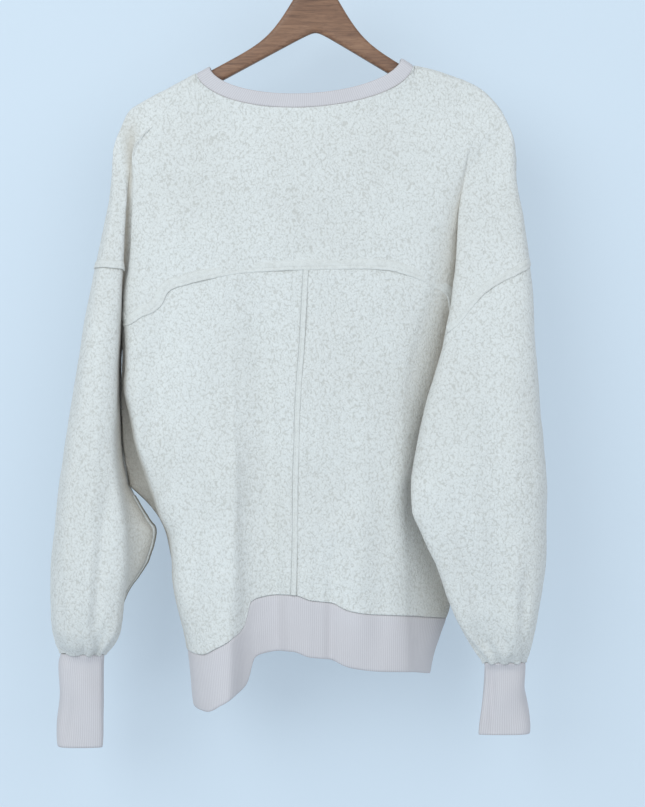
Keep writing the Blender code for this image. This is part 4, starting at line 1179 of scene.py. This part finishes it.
def band_material():
    """The raw knit side of the fleece, flatter and lighter, with a row of stitches along its middle and
    painted shadow on the lip of its free edge.
    """
    s = Shader("seam_allowance")
    at = s.place()
    uv = s.node("ShaderNodeSeparateXYZ", {0: s.place(uv=True)})
    knit = s.noise(at, 900.0, 2.0, 0.6)
    soft = s.noise(at, 260.0, 2.0, 0.55)
    height = s.weighted((knit, 0.5), (soft, 0.6))
    colour = s.ramp(height, (0.36, (0.61, 0.592, 0.548)), (0.62, (0.715, 0.702, 0.662)))
    wave = s.math("SINE", s.times(uv.outputs[0], 2 * math.pi / STITCH_PITCH))
    line = s.minus(1.0, s.times(s.math("ABSOLUTE", s.minus(uv.outputs[1], STITCH_PLACE)), 1500.0))
    stitch = s.times(s.math("MAXIMUM", line, 0.0), s.math("MAXIMUM", wave, 0.0))
    colour = s.mix(s.times(stitch, 0.3), colour, (0.50, 0.47, 0.42))
    # Painted shadow: the free edge's lip, which dips into the pile, is darkened.
    raw = s.math("LESS_THAN", uv.outputs[1], EDGE_SHADOW_WIDTH)
    colour = s.mix(s.times(raw, 0.8), colour, (0.30, 0.26, 0.20))
    height = s.minus(height, s.times(stitch, 0.6))
    return s.finish(
        colour, s.bump(height, 0.0006, 0.7), Roughness=0.95, Specular_IOR_Level=0.12, Sheen_Weight=0.2
    )


def rib_material():
    """Off-white rib knit: rounded ribs with channels darkened as painted shade, each rib made of small loops.
    """
    s = Shader("rib_knit")
    uv = s.node("ShaderNodeSeparateXYZ", {0: s.place(uv=True)})
    at = s.place()
    wobble = s.times(s.minus(s.noise(at, 120.0, 1.0), 0.5), 0.0009)
    across = s.math("ADD", uv.outputs[0], wobble)
    rib = s.math("COSINE", s.times(across, 2 * math.pi / (RIB_PITCH * MM)))
    rib = s.math("MULTIPLY_ADD", rib, 0.5, 0.5)
    loop = s.math("COSINE", s.times(uv.outputs[1], 2 * math.pi / LOOP_PITCH))
    loop = s.times(s.math("MULTIPLY_ADD", loop, 0.5, 0.5), rib)
    fuzz = s.noise(at, 1400.0, 2.0, 0.65)
    height = s.weighted((rib, 0.62), (loop, 0.16), (fuzz, 0.22))
    colour = s.clouded(s.ramp(height, *RIB_TONES), at, 14.0)
    return s.finish(
        colour, s.bump(height, 0.00028, 0.5), Roughness=0.92, Specular_IOR_Level=0.15, Sheen_Weight=0.15
    )


def wood_material():
    """Brown stained wood: long grain along the arms, pores, and a satin lacquer."""
    s = Shader("stained_wood")
    grain_at = s.place((3.0, 60.0, 60.0))
    grain = s.noise(grain_at, 3.2, 5.0, 0.62, 1.4)
    pores = s.noise(s.place((24.0, 420.0, 420.0)), 4.0, 2.0, 0.6)
    colour = s.ramp(grain, *WOOD_TONES)
    dark = s.ramp(pores, (0.34, (0.72, 0.70, 0.68)), (0.5, (1.0, 1.0, 1.0)))
    colour = s.mix(1.0, colour, dark, "MULTIPLY")
    height = s.weighted((grain, 0.5), (pores, 0.5))
    return s.finish(
        colour, s.bump(height, 0.0003, 0.5), Roughness=0.42, Specular_IOR_Level=0.45, Coat_Weight=0.25,
        Coat_Roughness=0.3
    )


def steel_material():
    """Polished steel with fine scuffs."""
    s = Shader("polished_steel")
    at = s.place((1.0, 1.0, 1.0))
    scuff = s.noise(at, 900.0, 3.0, 0.6)
    colour = s.ramp(scuff, (0.3, (0.52, 0.52, 0.53)), (0.7, (0.66, 0.66, 0.67)))
    rough = s.ramp(scuff, (0.3, (0.2, 0.2, 0.2)), (0.7, (0.32, 0.32, 0.32)))
    s.tree.links.new(rough, s.surface.inputs["Roughness"])
    return s.finish(colour, s.bump(scuff, 0.00008, 0.4), Metallic=1.0)


def plain(name, colour, one_way=False, glow=None):
    """A matt stage material. With one_way it shows only from its front; a glow lightens its shadows."""
    s = Shader(name)
    s.surface.inputs["Base Color"].default_value = (*colour, 1.0)
    s.surface.inputs["Roughness"].default_value = 1.0
    s.surface.inputs["Specular IOR Level"].default_value = 0.0
    if glow:
        s.surface.inputs["Emission Color"].default_value = (*glow, 1.0)
        s.surface.inputs["Emission Strength"].default_value = 1.0
    if one_way:
        behind = s.node("ShaderNodeNewGeometry").outputs["Backfacing"]
        clear = s.node("ShaderNodeBsdfTransparent")
        both = s.node("ShaderNodeMixShader", {0: behind, 1: s.surface.outputs[0], 2: clear.outputs[0]})
        output = next(n for n in s.tree.nodes if n.type == "OUTPUT_MATERIAL")
        s.tree.links.new(both.outputs[0], output.inputs["Surface"])
    return s.material


# Stage, in metres.
WALL_Y = 0.115
WALL_GLOW = (0.285, 0.345, 0.405)
SKY_SEEN = (0.62, 0.75, 0.885, 1.0)
SKY_LIGHT = (0.80, 0.90, 1.0, 1.0)
SKY_STRENGTH = 0.615
CAMERA_PLACE = (0.0075, -1.80, -0.556)
LENS = 69.8
SENSOR_HEIGHT = 36.0


def quad(name, corners, material):
    """A flat four-sided stage piece."""
    mesh = bpy.data.meshes.new(name)
    mesh.from_pydata(corners, [], [(0, 1, 2, 3)])
    mesh.materials.append(material)
    made = bpy.data.objects.new(name, mesh)
    bpy.context.scene.collection.objects.link(made)
    return made


def area_light(name, place, target, size, power, colour):
    """A round soft light that faces the target."""
    data = bpy.data.lights.new(name, "AREA")
    data.shape = "DISK"
    data.size = size
    data.energy = power
    data.color = colour
    lamp = bpy.data.objects.new(name, data)
    lamp.location = place
    aim = Vector(target) - Vector(place)
    lamp.rotation_euler = aim.to_track_quat("-Z", "Y").to_euler()
    bpy.context.scene.collection.objects.link(lamp)
    return lamp


def build_stage():
    """A pale floor, a pale wall behind the garment, soft light from the left and the camera."""
    scene = bpy.context.scene
    corners = [(-4, -4, -2), (4, -4, -2), (4, 4, -2), (-4, 4, -2)]
    floor = quad("floor", corners, plain("pale_floor", (0.70, 0.76, 0.82)))
    corners = [(x, WALL_Y, z) for x, z in ((-0.62, -1.25), (0.62, -1.25), (0.62, 0.14), (-0.62, 0.14))]
    wall = quad("wall", corners, plain("pale_wall", (0.37, 0.405, 0.435), one_way=True, glow=WALL_GLOW))
    world = bpy.data.worlds.new("sky")
    scene.world = world
    world.use_nodes = True
    tree = world.node_tree
    seen = tree.nodes.new("ShaderNodeBackground")
    seen.inputs["Color"].default_value = SKY_SEEN
    light = tree.nodes["Background"]
    light.inputs["Color"].default_value = SKY_LIGHT
    light.inputs["Strength"].default_value = SKY_STRENGTH
    rays = tree.nodes.new("ShaderNodeLightPath")
    both = tree.nodes.new("ShaderNodeMixShader")
    tree.links.new(rays.outputs["Is Camera Ray"], both.inputs[0])
    tree.links.new(light.outputs[0], both.inputs[1])
    tree.links.new(seen.outputs[0], both.inputs[2])
    tree.links.new(both.outputs[0], tree.nodes["World Output"].inputs["Surface"])
    area_light("key", (-1.7, -2.4, 0.45), (-0.02, 0, -0.55), 2.4, 45.5, (0.86, 0.955, 1.0))
    area_light("fill", (1.5, -2.5, 0.1), (0, 0, -0.5), 2.8, 26.0, (0.88, 0.955, 1.0))
    data = bpy.data.cameras.new("camera")
    data.sensor_fit = "VERTICAL"
    data.sensor_height = SENSOR_HEIGHT
    data.lens = LENS
    data.clip_end = 40.0
    camera = bpy.data.objects.new("camera", data)
    camera.location = CAMERA_PLACE
    camera.rotation_euler = (math.pi / 2, 0.0, 0.0)
    scene.collection.objects.link(camera)
    scene.camera = camera
    scene.view_settings.view_transform = "Standard"


def fit(piece, material, node=None):
    """Gives a piece its material and its body, and hides the imported node that it stands for."""
    piece.data.materials.append(material)
    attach(piece, "root")
    if node:
        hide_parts(node)


def main():
    """Builds every piece and sets the stage."""
    fleece, rib, band = fleece_material(), rib_material(), band_material()
    back = build_back()
    for key, node in (("yoke", "back_yoke"), ("left", "back_left"), ("right", "back_right")):
        fit(back[key], fleece, node)
    front = build_front()
    fit(front, fleece, "front")
    sleeves = {side: build_sleeve(side) for side in ("left", "right")}
    cuffs = {side: build_cuff(side) for side in ("left", "right")}
    for side in ("left", "right"):
        fit(sleeves[side], fleece, f"sleeve_{side}")
        fit(cuffs[side], rib, f"cuff_{side}")
    hem, neck = build_hem(), build_neck()
    fit(hem, rib, "hem_band")
    fit(neck, rib, "neckband")
    bands = build_bands()
    for piece in bands.values():
        fit(piece, band)
    wood, hook = build_hanger()
    fit(wood, wood_material(), "hanger_wood")
    fit(hook, steel_material(), "hanger_hook")
    build_stage()


main()
